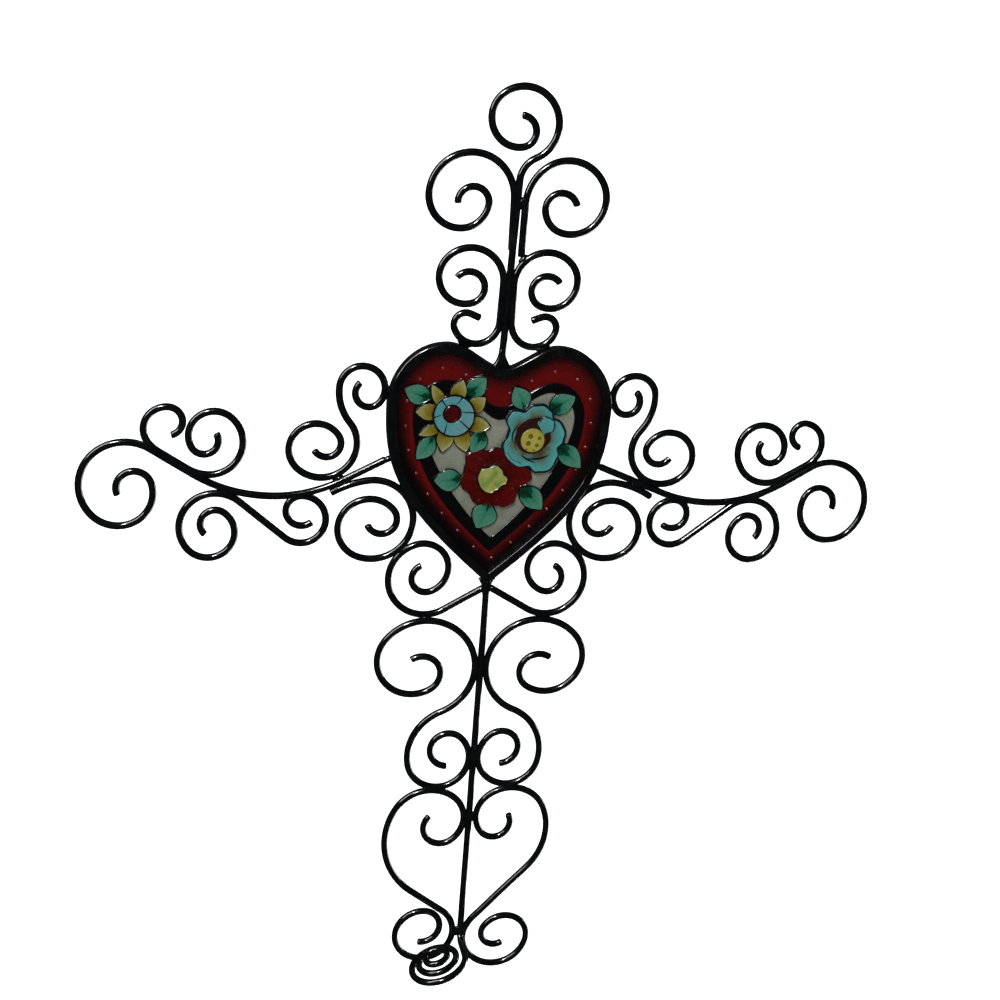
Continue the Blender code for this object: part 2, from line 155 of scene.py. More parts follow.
UNDER_S = (
    (0.1262, -0.0185), 43,
    ((0.0064, 175), (0.0114, 194), (0.0154, 167), 0.0260, (0.0108, -218), (0.0068, -222)),
)
UNDER_SCROLL = (
    (0.0732, 0.0020), 147,
    ((0.0420, 24), (0.0182, 206), (0.0138, 213), (0.0068, 196)),
)
TIP_SCROLL = (
    (0.0308, -0.0312), -22,
    ((0.0066, -180), (0.0118, -178), (0.0172, -190), 0.0195),
)
BIG_S = (
    (0.0328, -0.0768), 144,
    ((0.0088, 185), (0.0168, 159), (0.0236, 209), (0.0240, -80), (0.0146, -215), (0.0084, -221)),
)
FOOT_S = (
    (0.0194, -0.1582), -57,
    (
        (0.0078, -173), (0.0138, -95), (0.0180, -100), (0.0300, -67), 0.0360,
        (0.0160, 207), (0.0118, 164), (0.0068, 157)),
)
FOOT_S_LEFT = (
    (0.0190, -0.1578), -45,
    (
        (0.0086, -176), (0.0146, -100), (0.0184, -99), (0.0340, -84), 0.0200,
        (0.0144, 180), (0.0130, 145), (0.0086, 190)),
)
LEFT_PIECES = {
    "top_scroll": TOP_SCROLL_LEFT,
    "arm": ARM_LEFT,
    "outer_c": OUTER_C_LEFT,
    "foot_s": FOOT_S_LEFT,
}
HANGER = (
    (-0.0005, 0.1670), 0,
    ((0.0065, -170), (0.0120, -150), (0.0150, -195), (0.0110, 65)),
)
HANGER_LEAN = 0.0008
STEM_LEAN = 0.0003
STEM_FOOT_HEIGHT = -0.2250
FOOT_BEND_RADIUS = 0.0050
COIL_FORWARD = 0.0150
COIL_RADIUS = 0.0142
COIL_TURNS = 2.55
COIL_SHRINK = 0.0040
COIL_PITCH = 0.0020
COIL_TILT = 19.0

# Welding pressed these pieces further into what carries them than the solids' clearance
# lets them: how far outwards and upwards, and how many degrees turned, as right-hand pieces.
PRESSED = {
    "second_scroll_left": (-0.0010, 0.0002, 0),
    "second_scroll_right": (-0.0014, -0.0002, 0),
    "top_scroll_left": (-0.0019, 0.0, -2.5),
    "inner_s_right": (-0.0008, -0.0009, 0.5),
    "outer_c_left": (0.0005, -0.0027, 0),
    "outer_c_right": (0.0004, -0.0010, -1),
    "under_s_left": (0.0002, 0.0021, 0),
    "under_s_right": (-0.0003, 0.0023, 0),
    "under_scroll_left": (-0.0014, 0.0010, 1),
    "under_scroll_right": (-0.0007, 0.0009, 0),
    "tip_scroll_left": (0.0015, -0.0010, -1),
    "tip_scroll_right": (0.0020, -0.0011, 0),
    "big_s_left": (-0.0009, -0.0010, 0),
    "big_s_right": (-0.0009, -0.0010, 0),
    "foot_s_left": (-0.0010, -0.0002, 0),
    "foot_s_right": (-0.0010, -0.0006, -1),
}

# Camera: direction from the object, roll, and place, found from the cross's own symmetry.
CAMERA_AZIMUTH = -12.95
CAMERA_ELEVATION = 16.72
CAMERA_ROLL = -4.60
CAMERA_DISTANCE = 0.660
CAMERA_ASIDE = 0.0030
CAMERA_LENS = 53.1
CAMERA_SENSOR = 36.0


# Paths of the rods

def facet_count(radius, degrees):
    """Straight facets for one bend of the solids, by turn and by sagitta."""
    by_sagitta = math.degrees(2 * math.acos(max(0.0, 1 - FACET_SAGITTA / radius)))
    return max(1, math.ceil(abs(degrees) / min(FACET_TURN, by_sagitta) - 1e-6))


def fine_count(radius, degrees):
    """Short steps along one smooth bend."""
    return max(2, math.ceil(radius * math.radians(abs(degrees)) / FINE_STEP))


def bend_rod(piece, count_of=facet_count):
    """Points (x, z) of a rod bent from its start through its bends and runs."""
    (x, z), degrees, bends = piece
    heading = math.radians(degrees)
    points = [(x, z)]
    for bend in bends:
        if not isinstance(bend, tuple):
            x += bend * math.cos(heading)
            z += bend * math.sin(heading)
            points.append((x, z))
            continue
        radius, degrees = bend
        count = count_of(radius, degrees)
        turn = math.radians(degrees) / count
        chord = 2 * radius * math.sin(abs(turn) / 2)
        for _ in range(count):
            x += chord * math.cos(heading + turn / 2)
            z += chord * math.sin(heading + turn / 2)
            heading += turn
            points.append((x, z))
    return np.array(points)


def mirrored(points):
    """The same points on the other side of the stem."""
    return points * (-1, 1)


def nearest(corners, chain):
    """Distance of each corner from a chain of straight facets."""
    start, along = chain[:-1], np.diff(chain, axis=0)
    length = (along ** 2).sum(axis=1)
    away = corners[:, None, :] - start[None, :, :]
    share = np.clip((away * along).sum(axis=2) / length, 0, 1)
    return np.sqrt(((away - share[:, :, None] * along) ** 2).sum(axis=2).min(axis=1))


def distance(path, line):
    """Least distance between two chains of straight facets."""
    return min(nearest(path, line).min(), nearest(line, path).min())


def gaps(path, neighbours):
    """How much further than its reach a piece is from each neighbour."""
    return np.array([distance(path, line) - reach for line, reach in neighbours])


def seat(path, neighbours):
    """Move a piece the shortest way that rests it against all its neighbours."""
    feel, longest_move, rounds = 2e-5, 0.0015, 16
    for _ in range(rounds):
        slopes = [
            (gaps(path + step, neighbours) - gaps(path - np.array(step), neighbours)) / (2 * feel)
            for step in ((feel, 0), (0, feel))
        ]
        move = -np.linalg.pinv(np.array(slopes).T, rcond=0.1) @ gaps(path, neighbours)
        path = path + move * min(1, longest_move / max(np.hypot(*move), feel))
    return path


def bezier(a, b, c, d, count):
    """Points of a cubic curve, without its last one."""
    a, b, c, d = (np.array(p) for p in (a, b, c, d))
    shares = np.linspace(0, 1, count, endpoint=False)[:, None]
    rest = 1 - shares
    return rest ** 3 * a + 3 * rest ** 2 * shares * b + 3 * rest * shares ** 2 * c + shares ** 3 * d


def heart_outline(half_width, wide, lobe_x, top, cleft, tip, belly, count):
    """A heart from its cleft, clockwise seen from the front, as (x, z) points."""
    height = wide - tip
    round_share = 0.5523
    valley = bezier((0, cleft), (0.28 * lobe_x, cleft), (0.63 * lobe_x, top), (lobe_x, top), count // 2)
    shoulder = bezier(
        (lobe_x, top), (lobe_x + round_share * (half_width - lobe_x), top),
        (half_width, wide + round_share * (top - wide)), (half_width, wide), count // 2)
    side = bezier(
        (half_width, wide), (half_width, wide - 0.45 * belly * height),
        (belly * half_width, tip + 0.52 * belly * height), (0, tip), count // 2 + 2)
    right = np.vstack((valley, shoulder, side))
    left = mirrored(right[1:][::-1])
    return np.vstack((right, [(0, tip)], left)) + (HEART_SHIFT, 0)


def heart_shape(count):
    """The heart's outer edge."""
    return heart_outline(
        HEART_HALF_WIDTH, HEART_WIDE_HEIGHT, HEART_LOBE_X, HEART_TOP_HEIGHT,
        HEART_CLEFT_HEIGHT, HEART_TIP_HEIGHT, HEART_BELLY, count)


def normals(along):
    """Unit directions to the inner side of a clockwise outline's facets."""
    along = along / np.hypot(*along.T)[:, None]
    return np.stack((along[:, 1], -along[:, 0]), axis=1)


def inset(outline, amount):
    """Move a clockwise outline inwards by its mitred corner directions."""
    normal_before = normals(outline - np.roll(outline, 1, axis=0))
    normal_after = normals(np.roll(outline, -1, axis=0) - outline)
    mitre = normal_before + normal_after
    mitre /= (mitre * normal_after).sum(axis=1)[:, None]
    return outline + amount * mitre


def closed(outline):
    """An outline with its first point again at its end."""
    return np.vstack((outline, outline[:1]))


def stem_points(top, bend_count, coil_count):
    """The stem as points: down, forward from its foot, then round into the coil."""
    foot = STEM_FOOT_HEIGHT - HOOK_HEIGHT
    points = [(0, 0, top - HOOK_HEIGHT)]
    aside = STEM_LEAN
    for i in range(bend_count + 1):
        angle = math.pi / 2 * i / bend_count
        back_by = FOOT_BEND_RADIUS * (1 - math.cos(angle))
        points.append((aside, -back_by, foot + FOOT_BEND_RADIUS * (1 - math.sin(angle))))
    tilt = math.radians(COIL_TILT)
    for i in range(coil_count + 1):
        turns = COIL_TURNS * i / coil_count
        angle = -2 * math.pi * turns
        radius = COIL_RADIUS - COIL_SHRINK * turns
        across = radius * math.cos(angle) - COIL_RADIUS
        rise = COIL_PITCH * turns
        points.append((
            aside + across * math.cos(tilt) - rise * math.sin(tilt),
            radius * math.sin(angle) - COIL_FORWARD,
            foot + across * math.sin(tilt) + rise * math.cos(tilt),
        ))
    return np.array(points)


def slide_end(path, heart):
    """Shift a rod's last corner away from the heart until it just clears it."""
    away = path[-2] - path[-1]
    away /= np.hypot(*away)
    while distance(path[-2:], heart) < ROD_TO_EDGE:
        path[-1] += away * CLEARANCE / 3
    return path


def run_to_stem(path, stem, reach):
    """Cut or stretch a last straight run so that it ends beside the stem."""
    along = path[-1] - path[-2]
    share = (stem[0][0] + reach - path[-2][0]) / along[0]
    path[-1] = path[-2] + share * along
    return path


def pressed(path, name):
    """A path moved and turned about its middle as the welding left it."""
    outwards, upwards, degrees = PRESSED.get(name, (0, 0, 0))
    turn = math.radians(degrees)
    middle = path.mean(axis=0)
    rotation = np.array(((math.cos(turn), math.sin(turn)), (-math.sin(turn), math.cos(turn))))
    return middle + (path - middle) @ rotation + (outwards, upwards)


def scroll_paths(heart, hanger, stem, side):
    """Smooth paths of one side's ten pieces, where the solids' own paths rest."""
    left = side == "left"
    rods = {"hanger": (hanger, ROD_TO_ROD), "stem": (stem, ROD_TO_ROD), "heart": (heart, ROD_TO_EDGE)}
    paths = {}

    def add(name, piece, *rests):
        design = LEFT_PIECES.get(name, piece) if left else piece
        coarse = bend_rod(design)
        rested = seat(coarse, [rods[rest] for rest in rests])
        smooth = pressed(bend_rod(design, fine_count) + (rested[0] - coarse[0]), f"{name}_{side}")
        if name == "tip_scroll":
            rested = run_to_stem(rested, stem, ROD_TO_ROD)
            smooth = run_to_stem(smooth, stem, ROD_RADIUS)
        rods[name] = (rested, ROD_TO_ROD)
        paths[name] = smooth

    add("second_scroll", SECOND_SCROLL, "hanger", "heart")
    add("top_scroll", TOP_SCROLL, "hanger")
    add("arm", ARM, "heart")
    add("inner_s", INNER_S, "arm")
    add("outer_c", OUTER_C, "arm")
    add("under_s", UNDER_S, "arm")
    add("under_scroll", UNDER_SCROLL, "arm", "heart")
    add("tip_scroll", TIP_SCROLL, "under_scroll", "heart")
    add("big_s", BIG_S, "stem", "tip_scroll")
    add("foot_s", FOOT_S, "stem", "big_s")
    return paths


def all_paths():
    """Smooth flat paths of every rod but the stem, and the stem's straight line."""
    heart = closed(heart_shape(HEART_COARSE_POINTS))
    foot = [(HEART_SHIFT - HANGER_LEAN, HEART_CLEFT_HEIGHT + ROD_TO_EDGE)]
    hanger = slide_end(np.vstack((bend_rod(HANGER), foot)), heart)
    smooth_hanger = np.vstack((bend_rod(HANGER, fine_count), [(foot[0][0], HEART_CLEFT_HEIGHT)]))
    tip = (HEART_SHIFT, HEART_TIP_HEIGHT)
    stem = np.array([(0, tip[1] - ROD_TO_EDGE - ROD_RADIUS), (STEM_LEAN, STEM_FOOT_HEIGHT)])
    paths = {"hanger_rod": smooth_hanger}
    for side in ("left", "right"):
        left = side == "left"
        near = [mirrored(line) if left else line for line in (heart, hanger, stem)]
        for name, path in scroll_paths(*near, side).items():
            paths[f"{name}_{side}"] = mirrored(path) if left else path
    return paths, stem


# Meshes

def linked(name, data):
    """A new object in the scene."""
    thing = bpy.data.objects.new(name, data)
    bpy.context.collection.objects.link(thing)
    return thing


def piece_from(name, vertices, faces, material, slot, tone=None, flat_angle=None):
    """A closed, smooth-shaded mesh piece that rides with the part."""
    mesh = bpy.data.meshes.new(name)
    mesh.from_pydata([tuple(v) for v in vertices], [], faces)
    if tone is not None:
        layer = mesh.attributes.new("tone", "FLOAT", "POINT")
        layer.data.foreach_set("value", np.array(tone, dtype=np.float32))
    shape = bmesh.new()
    shape.from_mesh(mesh)
    bmesh.ops.remove_doubles(shape, verts=shape.verts, dist=2e-6)
    bmesh.ops.dissolve_degenerate(shape, dist=1e-6, edges=shape.edges)
    bmesh.ops.recalc_face_normals(shape, faces=shape.faces)
    shape.to_mesh(mesh)
    shape.free()
    mesh.shade_smooth()
    if flat_angle is not None:
        mesh.set_sharp_from_angle(angle=math.radians(flat_angle))
    mesh.materials.append(material)
    thing = linked(name, mesh)
    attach(thing, "root")
    return thing


def at_stations(chain, along, stations):
    """Points of a chain at the given lengths along it."""
    return np.stack([np.interp(stations, along, column) for column in chain.T], axis=1)


def resample(points, step, ends):
    """Points of a chain at even steps, with extra stations near both ends."""
    along = np.concatenate(([0], np.cumsum(np.linalg.norm(np.diff(points, axis=0), axis=1))))
    length = along[-1]
    near = [offset for offset, _ in ends]
    count = max(4, round((length - 2 * near[-1]) / step))
    middle = np.linspace(near[-1], length - near[-1], count)
    stations = np.concatenate((near[:-1], middle, [length - offset for offset in near[:-1]][::-1]))
    return at_stations(points, along, stations), stations


def run_lengths(line):
    """Length along a flat chain at each of its points."""
    return np.concatenate(([0], np.cumsum(np.hypot(*np.diff(line, axis=0).T))))


def rod_mesh(points, seed):
    """Vertices and faces of a round rod along points, with cut ends of rounded corners."""
    chain, stations = resample(points, RING_STEP, END_ROUNDING)
    phase = Vector((seed * 7.31, seed * 3.17, 0))
    swell, wander = [], []
    for s in stations:
        swell.append(1 + ROD_SWELL * noise.noise(phase + Vector((s * SWELL_SCALE, 0, 0))))
        wander.append([noise.noise(phase + Vector((s * WANDER_SCALE, 5.0 * k, 9))) for k in (1, 2, 3)])
    chain = chain + ROD_WANDER * np.array(wander)
    tangent = np.gradient(chain, axis=0)
    tangent /= np.linalg.norm(tangent, axis=1)[:, None]
    side = np.cross(tangent[0], (0, 1, 0))
    if np.linalg.norm(side) < 0.1:
        side = np.cross(tangent[0], (1, 0, 0))
    radius = ROD_RADIUS * np.array(swell)
    for i, (_, share) in enumerate(END_ROUNDING):
        radius[i] *= share
        radius[-1 - i] *= share
    angles = 2 * np.pi * np.arange(ROD_SIDES) / ROD_SIDES
    rings = []
    for point, along, size in zip(chain, tangent, radius):
        side = side - side.dot(along) * along
        side /= np.linalg.norm(side)
        other = np.cross(along, side)
        rings.append(point + size * (np.cos(angles)[:, None] * side + np.sin(angles)[:, None] * other))
    return loft(rings)


def in_frame(flat, depth=0.0):
    """Flat (x, z) points from the heart's middle as points of the part at a depth."""
    flat = np.asarray(flat, float)
    depths = np.broadcast_to(depth, (len(flat),))
    return np.stack((flat[:, 0], depths, flat[:, 1] - HOOK_HEIGHT), axis=1)


def loft(rings, wrap=False):
    """A body through rings of equal count: capped at both ends, or joined last to first."""
    count, levels = len(rings[0]), len(rings)
    vertices = [point for ring in rings for point in ring]
    faces = []
    for level in range(levels if wrap else levels - 1):
        low, high = level * count, ((level + 1) % levels) * count
        for i in range(count):
            j = (i + 1) % count
            faces.append((low + i, high + i, high + j, low + j))
    if not wrap:
        last = (levels - 1) * count
        faces += [tuple(range(count)), tuple(range(last + count - 1, last - 1, -1))]
    return vertices, faces


def slab(top, bottom):
    """A closed body between two grids of points of one shape, shown side first."""
    rows, columns = top.shape[:2]
    vertices = list(top.reshape(-1, 3)) + list(bottom.reshape(-1, 3))
    under = rows * columns
    faces = []
    for r in range(rows - 1):
        for c in range(columns - 1):
            a, b = r * columns + c, (r + 1) * columns + c
            faces.append((a, b, b + 1, a + 1))
            faces.append((under + a, under + a + 1, under + b + 1, under + b))
    rim = list(range(columns))
    rim += [r * columns + columns - 1 for r in range(1, rows)]
    rim += [(rows - 1) * columns + c for c in range(columns - 2, -1, -1)]
    rim += [r * columns for r in range(rows - 2, 0, -1)]
    for a, b in zip(rim, rim[1:] + rim[:1]):
        faces.append((a, b, under + b, under + a))
    return vertices, faces


def merge(bodies):
    """Vertices and faces of several bodies as one list."""
    vertices, faces = [], []
    for body_vertices, body_faces in bodies:
        offset = len(vertices)
        vertices += list(body_vertices)
        faces += [tuple(offset + i for i in face) for face in body_faces]
    return vertices, faces


# Materials

def new_material(name, roughness, coat):
    """A Principled material and its node tree."""
    material = bpy.data.materials.new(name)
    material.use_nodes = True
    tree = material.node_tree
    shader = tree.nodes["Principled BSDF"]
    shader.inputs["Roughness"].default_value = roughness
    shader.inputs["Coat Weight"].default_value = coat
    shader.inputs["Coat Roughness"].default_value = 0.06
    return material, tree, shader


def noise_of(tree, scale, detail):
    """A noise texture in the part's own metres."""
    place = tree.nodes.new("ShaderNodeTexCoord")
    texture = tree.nodes.new("ShaderNodeTexNoise")
    texture.inputs["Scale"].default_value = scale
    texture.inputs["Detail"].default_value = detail
    tree.links.new(place.outputs["Object"], texture.inputs["Vector"])
    return texture.outputs["Fac"]


def spread(tree, value, low, high):
    """The usual range of a noise as another range."""
    node = tree.nodes.new("ShaderNodeMapRange")
    for name, limit in (("From Min", 0.3), ("From Max", 0.7), ("To Min", low), ("To Max", high)):
        node.inputs[name].default_value = limit
    tree.links.new(value, node.inputs["Value"])
    return node.outputs["Result"]


def linear(red, green, blue):
    """A display colour of 0 to 255 as linear values."""
    def channel(value):
        value /= 255
        return value / 12.92 if value <= 0.04045 else ((value + 0.055) / 1.055) ** 2.4
    return tuple(channel(v) for v in (red, green, blue))


def ramp(tree, value, stops):
    """Display colours along a value: (position, red, green, blue) each."""
    node = tree.nodes.new("ShaderNodeValToRGB")
    band = node.color_ramp
    while len(band.elements) < len(stops):
        band.elements.new(0.5)
    for element, (position, *colour) in zip(band.elements, stops):
        element.position = position
        element.color = (*linear(*colour), 1.0)
    tree.links.new(value, node.inputs["Fac"])
    return node.outputs["Color"]


def bump(tree, shader, scale, detail, strength, depth):
    """A fine unevenness of the surface from one noise."""
    node = tree.nodes.new("ShaderNodeBump")
    node.inputs["Strength"].default_value = strength
    node.inputs["Distance"].default_value = depth
    tree.links.new(noise_of(tree, scale, detail), node.inputs["Height"])
    tree.links.new(node.outputs["Normal"], shader.inputs["Normal"])


# Enamels: (position, red, green, blue) along the piece's tone, then how mottled it is,
# its roughness and the scale of the mottling where they aren't the usual ones.
ENAMELS = {
    # The border's near-black low end colours the edge along the rim: dark enamel and painted shade of the
    # rim.
    "border": ((
        (0.0, 2, 1, 1), (0.22, 12, 2, 3), (0.50, 50, 4, 5),
        (0.78, 84, 6, 6), (1.0, 74, 8, 11)), 0.02, 0.14, 160),
    # The dots' pale pink, lighter than the border's red, is a painted glint on each dot.
    "dot": (((0.0, 70, 14, 14), (1.0, 140, 70, 66)), 0.3),
    "outline": (((0.0, 4, 6, 6), (1.0, 10, 16, 15)), 0.10),
    "teal_outline": (((0.0, 3, 14, 20), (1.0, 12, 44, 48)), 0.3),
    "band": (((0.0, 1, 2, 2), (1.0, 6, 6, 7)), 0.10),
    "ground": ((
        (0.0, 99, 100, 88), (0.5, 116, 119, 106), (1.0, 130, 132, 122)), 0.28, 0.3, 200),
    "ochre": ((
        (0.0, 84, 50, 10), (0.25, 95, 82, 18), (0.55, 110, 105, 40),
        (0.85, 123, 120, 70), (1.0, 134, 130, 88)), 0.12),
    # Blue's greyer top end carries the painted sheen on one side of the sunflower's ring.
    "blue": ((
        (0.0, 60, 122, 128), (0.5, 74, 128, 132), (1.0, 98, 124, 128)), 0.3),
    "aqua": ((
        (0.0, 60, 52, 42), (0.28, 74, 84, 70), (0.52, 66, 112, 104),
        (0.80, 62, 130, 130), (1.0, 72, 134, 134)), 0.10),
    "throat": (((0.0, 18, 4, 2), (1.0, 44, 18, 12)), 0.3),
    "leaf": ((
        (0.0, 2, 26, 12), (0.34, 6, 56, 38), (0.48, 34, 98, 78),
        (0.75, 45, 105, 85), (1.0, 68, 112, 94)), 0.12),
    "dark_red": ((
        (0.0, 24, 2, 2), (0.5, 58, 3, 2), (1.0, 84, 8, 3)), 0.09, 0.14, 420),
    "eye_red": (((0.0, 40, 2, 3), (1.0, 66, 6, 5)), 0.2),
    "eye_yellow": ((
        (0.0, 128, 116, 40), (0.6, 142, 136, 62), (1.0, 150, 144, 80)), 0.2),
    "eye_green": ((
        (0.0, 84, 118, 44), (0.5, 118, 130, 66), (1.0, 140, 142, 78)), 0.35, 0.16, 420),
    "brown": (((0.0, 78, 66, 2), (1.0, 100, 88, 14)), 0.3),
}


def make_lacquer():
    """Gloss black lacquer on hand-bent steel, with faint dust and orange peel."""
    material, tree, shader = new_material("black_lacquer", 0.15, 0.5)
    tone = ramp(tree, noise_of(tree, 140, 4), ((0.35, 3, 4, 5), (0.62, 9, 10, 11), (0.78, 20, 21, 22)))
    tree.links.new(tone, shader.inputs["Base Color"])
    tree.links.new(spread(tree, noise_of(tree, 420, 3), 0.10, 0.22), shader.inputs["Roughness"])
    bump(tree, shader, 210, 2, 0.50, 0.00022)
    return material


def make_enamel(name, stops, mottle, roughness=0.16, grain=700):
    """Gloss enamel whose colour follows the piece's own tone, a little mottled."""
    material, tree, shader = new_material(f"enamel_{name}", roughness, 0.8)
    tone = tree.nodes.new("ShaderNodeAttribute")
    tone.attribute_name = "tone"
    total = tree.nodes.new("ShaderNodeMath")
    total.operation = "ADD"
    tree.links.new(tone.outputs["Fac"], total.inputs[0])
    tree.links.new(spread(tree, noise_of(tree, grain, 4), -mottle, mottle), total.inputs[1])
    tree.links.new(ramp(tree, total.outputs["Value"], stops), shader.inputs["Base Color"])
    sheen = spread(tree, noise_of(tree, 900, 2), roughness - 0.05, roughness + 0.08)
    tree.links.new(sheen, shader.inputs["Roughness"])
    bump(tree, shader, 300, 1, 0.25, 0.00010)
    return material


def make_materials():
    """Every finish of the cross."""
    finish = {"lacquer": make_lacquer()}
    for name, look in ENAMELS.items():
        finish[name] = make_enamel(name, *look)
    return finish


# The heart

def depth_of_border(points):
    """Depth of the border's and the ground's face under flat points."""
    edge = closed(inset(heart_shape(HEART_FINE_POINTS), RIM_WIDTH))
    return border_profile(nearest(np.asarray(points, float).reshape(-1, 2), edge))


def border_profile(gap):
    """Depth of the face at a distance from the rim's inner edge."""
    share = np.clip(np.asarray(gap) / BORDER_SLOPE, 0, 1)
    return BORDER_EDGE_FACE + (GROUND_FACE - BORDER_EDGE_FACE) * (1 - (1 - share) ** 2)


def build_tray(finish):
    """The heart's metal tray: closed back, outer wall, rounded shoulders and inner wall."""
    outline = heart_shape(HEART_FINE_POINTS)
    shoulder, inner = 0.0011, 0.0007
    profile = [(0.0006, TRAY_BACK), (0.0002, TRAY_BACK - 0.0001), (0.0, TRAY_BACK - 0.0004)]
    for k in range(8):
        angle = math.pi / 2 * k / 7
        profile.append((shoulder * (1 - math.cos(angle)), RIM_FRONT + shoulder * (1 - math.sin(angle))))
    profile += [(0.0018, RIM_FRONT - 0.00008), (0.0026, RIM_FRONT - 0.00004)]
    for k in range(6):
        angle = math.pi / 2 * k / 5
        profile.append((RIM_WIDTH - inner * (1 - math.sin(angle)), RIM_FRONT + inner * (1 - math.cos(angle))))
    profile += [(RIM_WIDTH, PLAQUE_BACK + CLEARANCE)]
    rings = [in_frame(inset(outline, amount), depth) for amount, depth in profile]
    tray = piece_from("heart_rim", *loft(rings), finish["lacquer"], "black_lacquer", flat_angle=50)
    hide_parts("heart_tray")


def widened(inner):
    """The band's inner line, drawn in under the first flower where black fills round its petals."""
    first, last, blend, reach = 24, 218, 16, 0.80 * SUN_RING_RADIUS
    away = inner - SUN_MIDDLE
    angle = np.degrees(np.arctan2(away[:, 1], away[:, 0])) % 360
    share = np.clip(np.minimum(angle - first, last - angle) / blend, 0, 1)
    share = (share * share * (3 - 2 * share))[:, None] * (inner[:, :1] < 0)
    direction = away / np.hypot(*away.T)[:, None]
    return inner + share * (SUN_MIDDLE + reach * direction - inner)


def build_ground(finish):
    """The plaque's border, band and ground under the flowers."""
    outline = heart_shape(HEART_FINE_POINTS)
    outer = heart_outline(**BAND_OUTER)
    inner = widened(heart_outline(**BAND_INNER))
    edge = inset(outline, RIM_WIDTH - 0.00005)
    # The dark edge of the slope, partly the enamel's own dark colour and partly painted shade under the rim,
    # is wider low on the heart.
    wide_height, fade = 0.050, 0.045
    darker = 0.45 + 1.05 * np.clip((wide_height - outline[:, 1]) / fade, 0, 1)
    rings, tones = [in_frame(edge, PLAQUE_BACK)], [np.zeros(len(edge))]
    for share in np.linspace(0, 1, 15):
        gap = BORDER_SLOPE * share
        rings.append(in_frame(inset(edge, gap), float(border_profile(gap))))
        tones.append(BORDER_FOOT_TONE * share ** darker)
    last = inset(edge, BORDER_SLOPE)
    for share in (0.33, 0.66, 1.0):
        rings.append(in_frame(last + share * (outer - last), GROUND_FACE))
        tones.append(np.full(len(edge), BORDER_FOOT_TONE + 0.20 * share))
    rings.append(in_frame(outer, PLAQUE_BACK))
    tones.append(np.full(len(edge), 0.9))
    border = piece_from(
        "heart_border", *loft(rings, wrap=True), finish["border"], "enamel", np.concatenate(tones), 50)
    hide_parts("heart_plaque")
    face = GROUND_FACE - BAND_RAISE
    profile = [(outer, 0, PLAQUE_BACK), (outer, 0, GROUND_FACE), (outer, 0.00005, face + 0.0004)]
    profile += [(outer, 0.0002, face + 0.00014), (outer, 0.0005, face), (inner, -0.0005, face)]
    profile += [(inner, -0.0002, face + 0.00014), (inner, -0.00005, face + 0.0004), (inner, 0, PLAQUE_BACK)]
    rings = [in_frame(inset(line, amount), depth) for line, amount, depth in profile]
    painted("heart_band", loft(rings, wrap=True), 0.5, finish["band"])
    rings = [in_frame(inset(inner, -0.0003), depth) for depth in (PLAQUE_BACK, GROUND_FACE)]
    tone = 0.15 + 0.42 * np.clip((inner[:, 1] - BAND_INNER["tip"]) / fade, 0, 1)
    piece_from("heart_ground", *loft(rings), finish["ground"], "enamel", np.tile(tone, 2), 50)


def build_dots(finish):
    """Small raised dots round the border, in a pale pink that paints a glint on each."""
    spacing, outer_share = 0.0112, 0.42
    edge = inset(heart_shape(HEART_FINE_POINTS), RIM_WIDTH)
    line = closed(outer_share * edge + (1 - outer_share) * heart_outline(**BAND_OUTER))
    along = run_lengths(line)
    count = round(along[-1] / spacing)
    places = at_stations(line, along, along[-1] * (np.arange(count) + 0.35) / count)
    painted("heart_dots", merge([bead(place, 0.00066, 0.00056) for place in places]), 0.5, finish["dot"])


def bead(middle, radius, height, lift=0.0):
    """A small domed drop that stands on the face under it."""
    rings, sides, foot = 5, 16, 0.0004
    base = float(depth_of_border([middle])[0]) - lift
    turn = 2 * np.pi * np.arange(sides) / sides
    levels = []
    for k in range(rings):
        angle = math.pi / 2 * k / rings
        size = radius * math.cos(angle)
        flat = np.stack((middle[0] + size * np.cos(turn), middle[1] + size * np.sin(turn)), axis=1)
        levels.append(in_frame(flat, base - height * math.sin(angle)))
    levels.insert(0, levels[0] + np.array((0, foot, 0)))
    return loft(levels)


def standing(flat, lift):
    """A body on the heart's face: a grid of flat points and how far each is lifted off it."""
    under = depth_of_border(flat).reshape(lift.shape)
    x, z = flat[:, :, 0], flat[:, :, 1] - HOOK_HEIGHT
    return slab(np.stack((x, under - lift, z), axis=2), np.stack((x, under + ROOTED, z), axis=2))


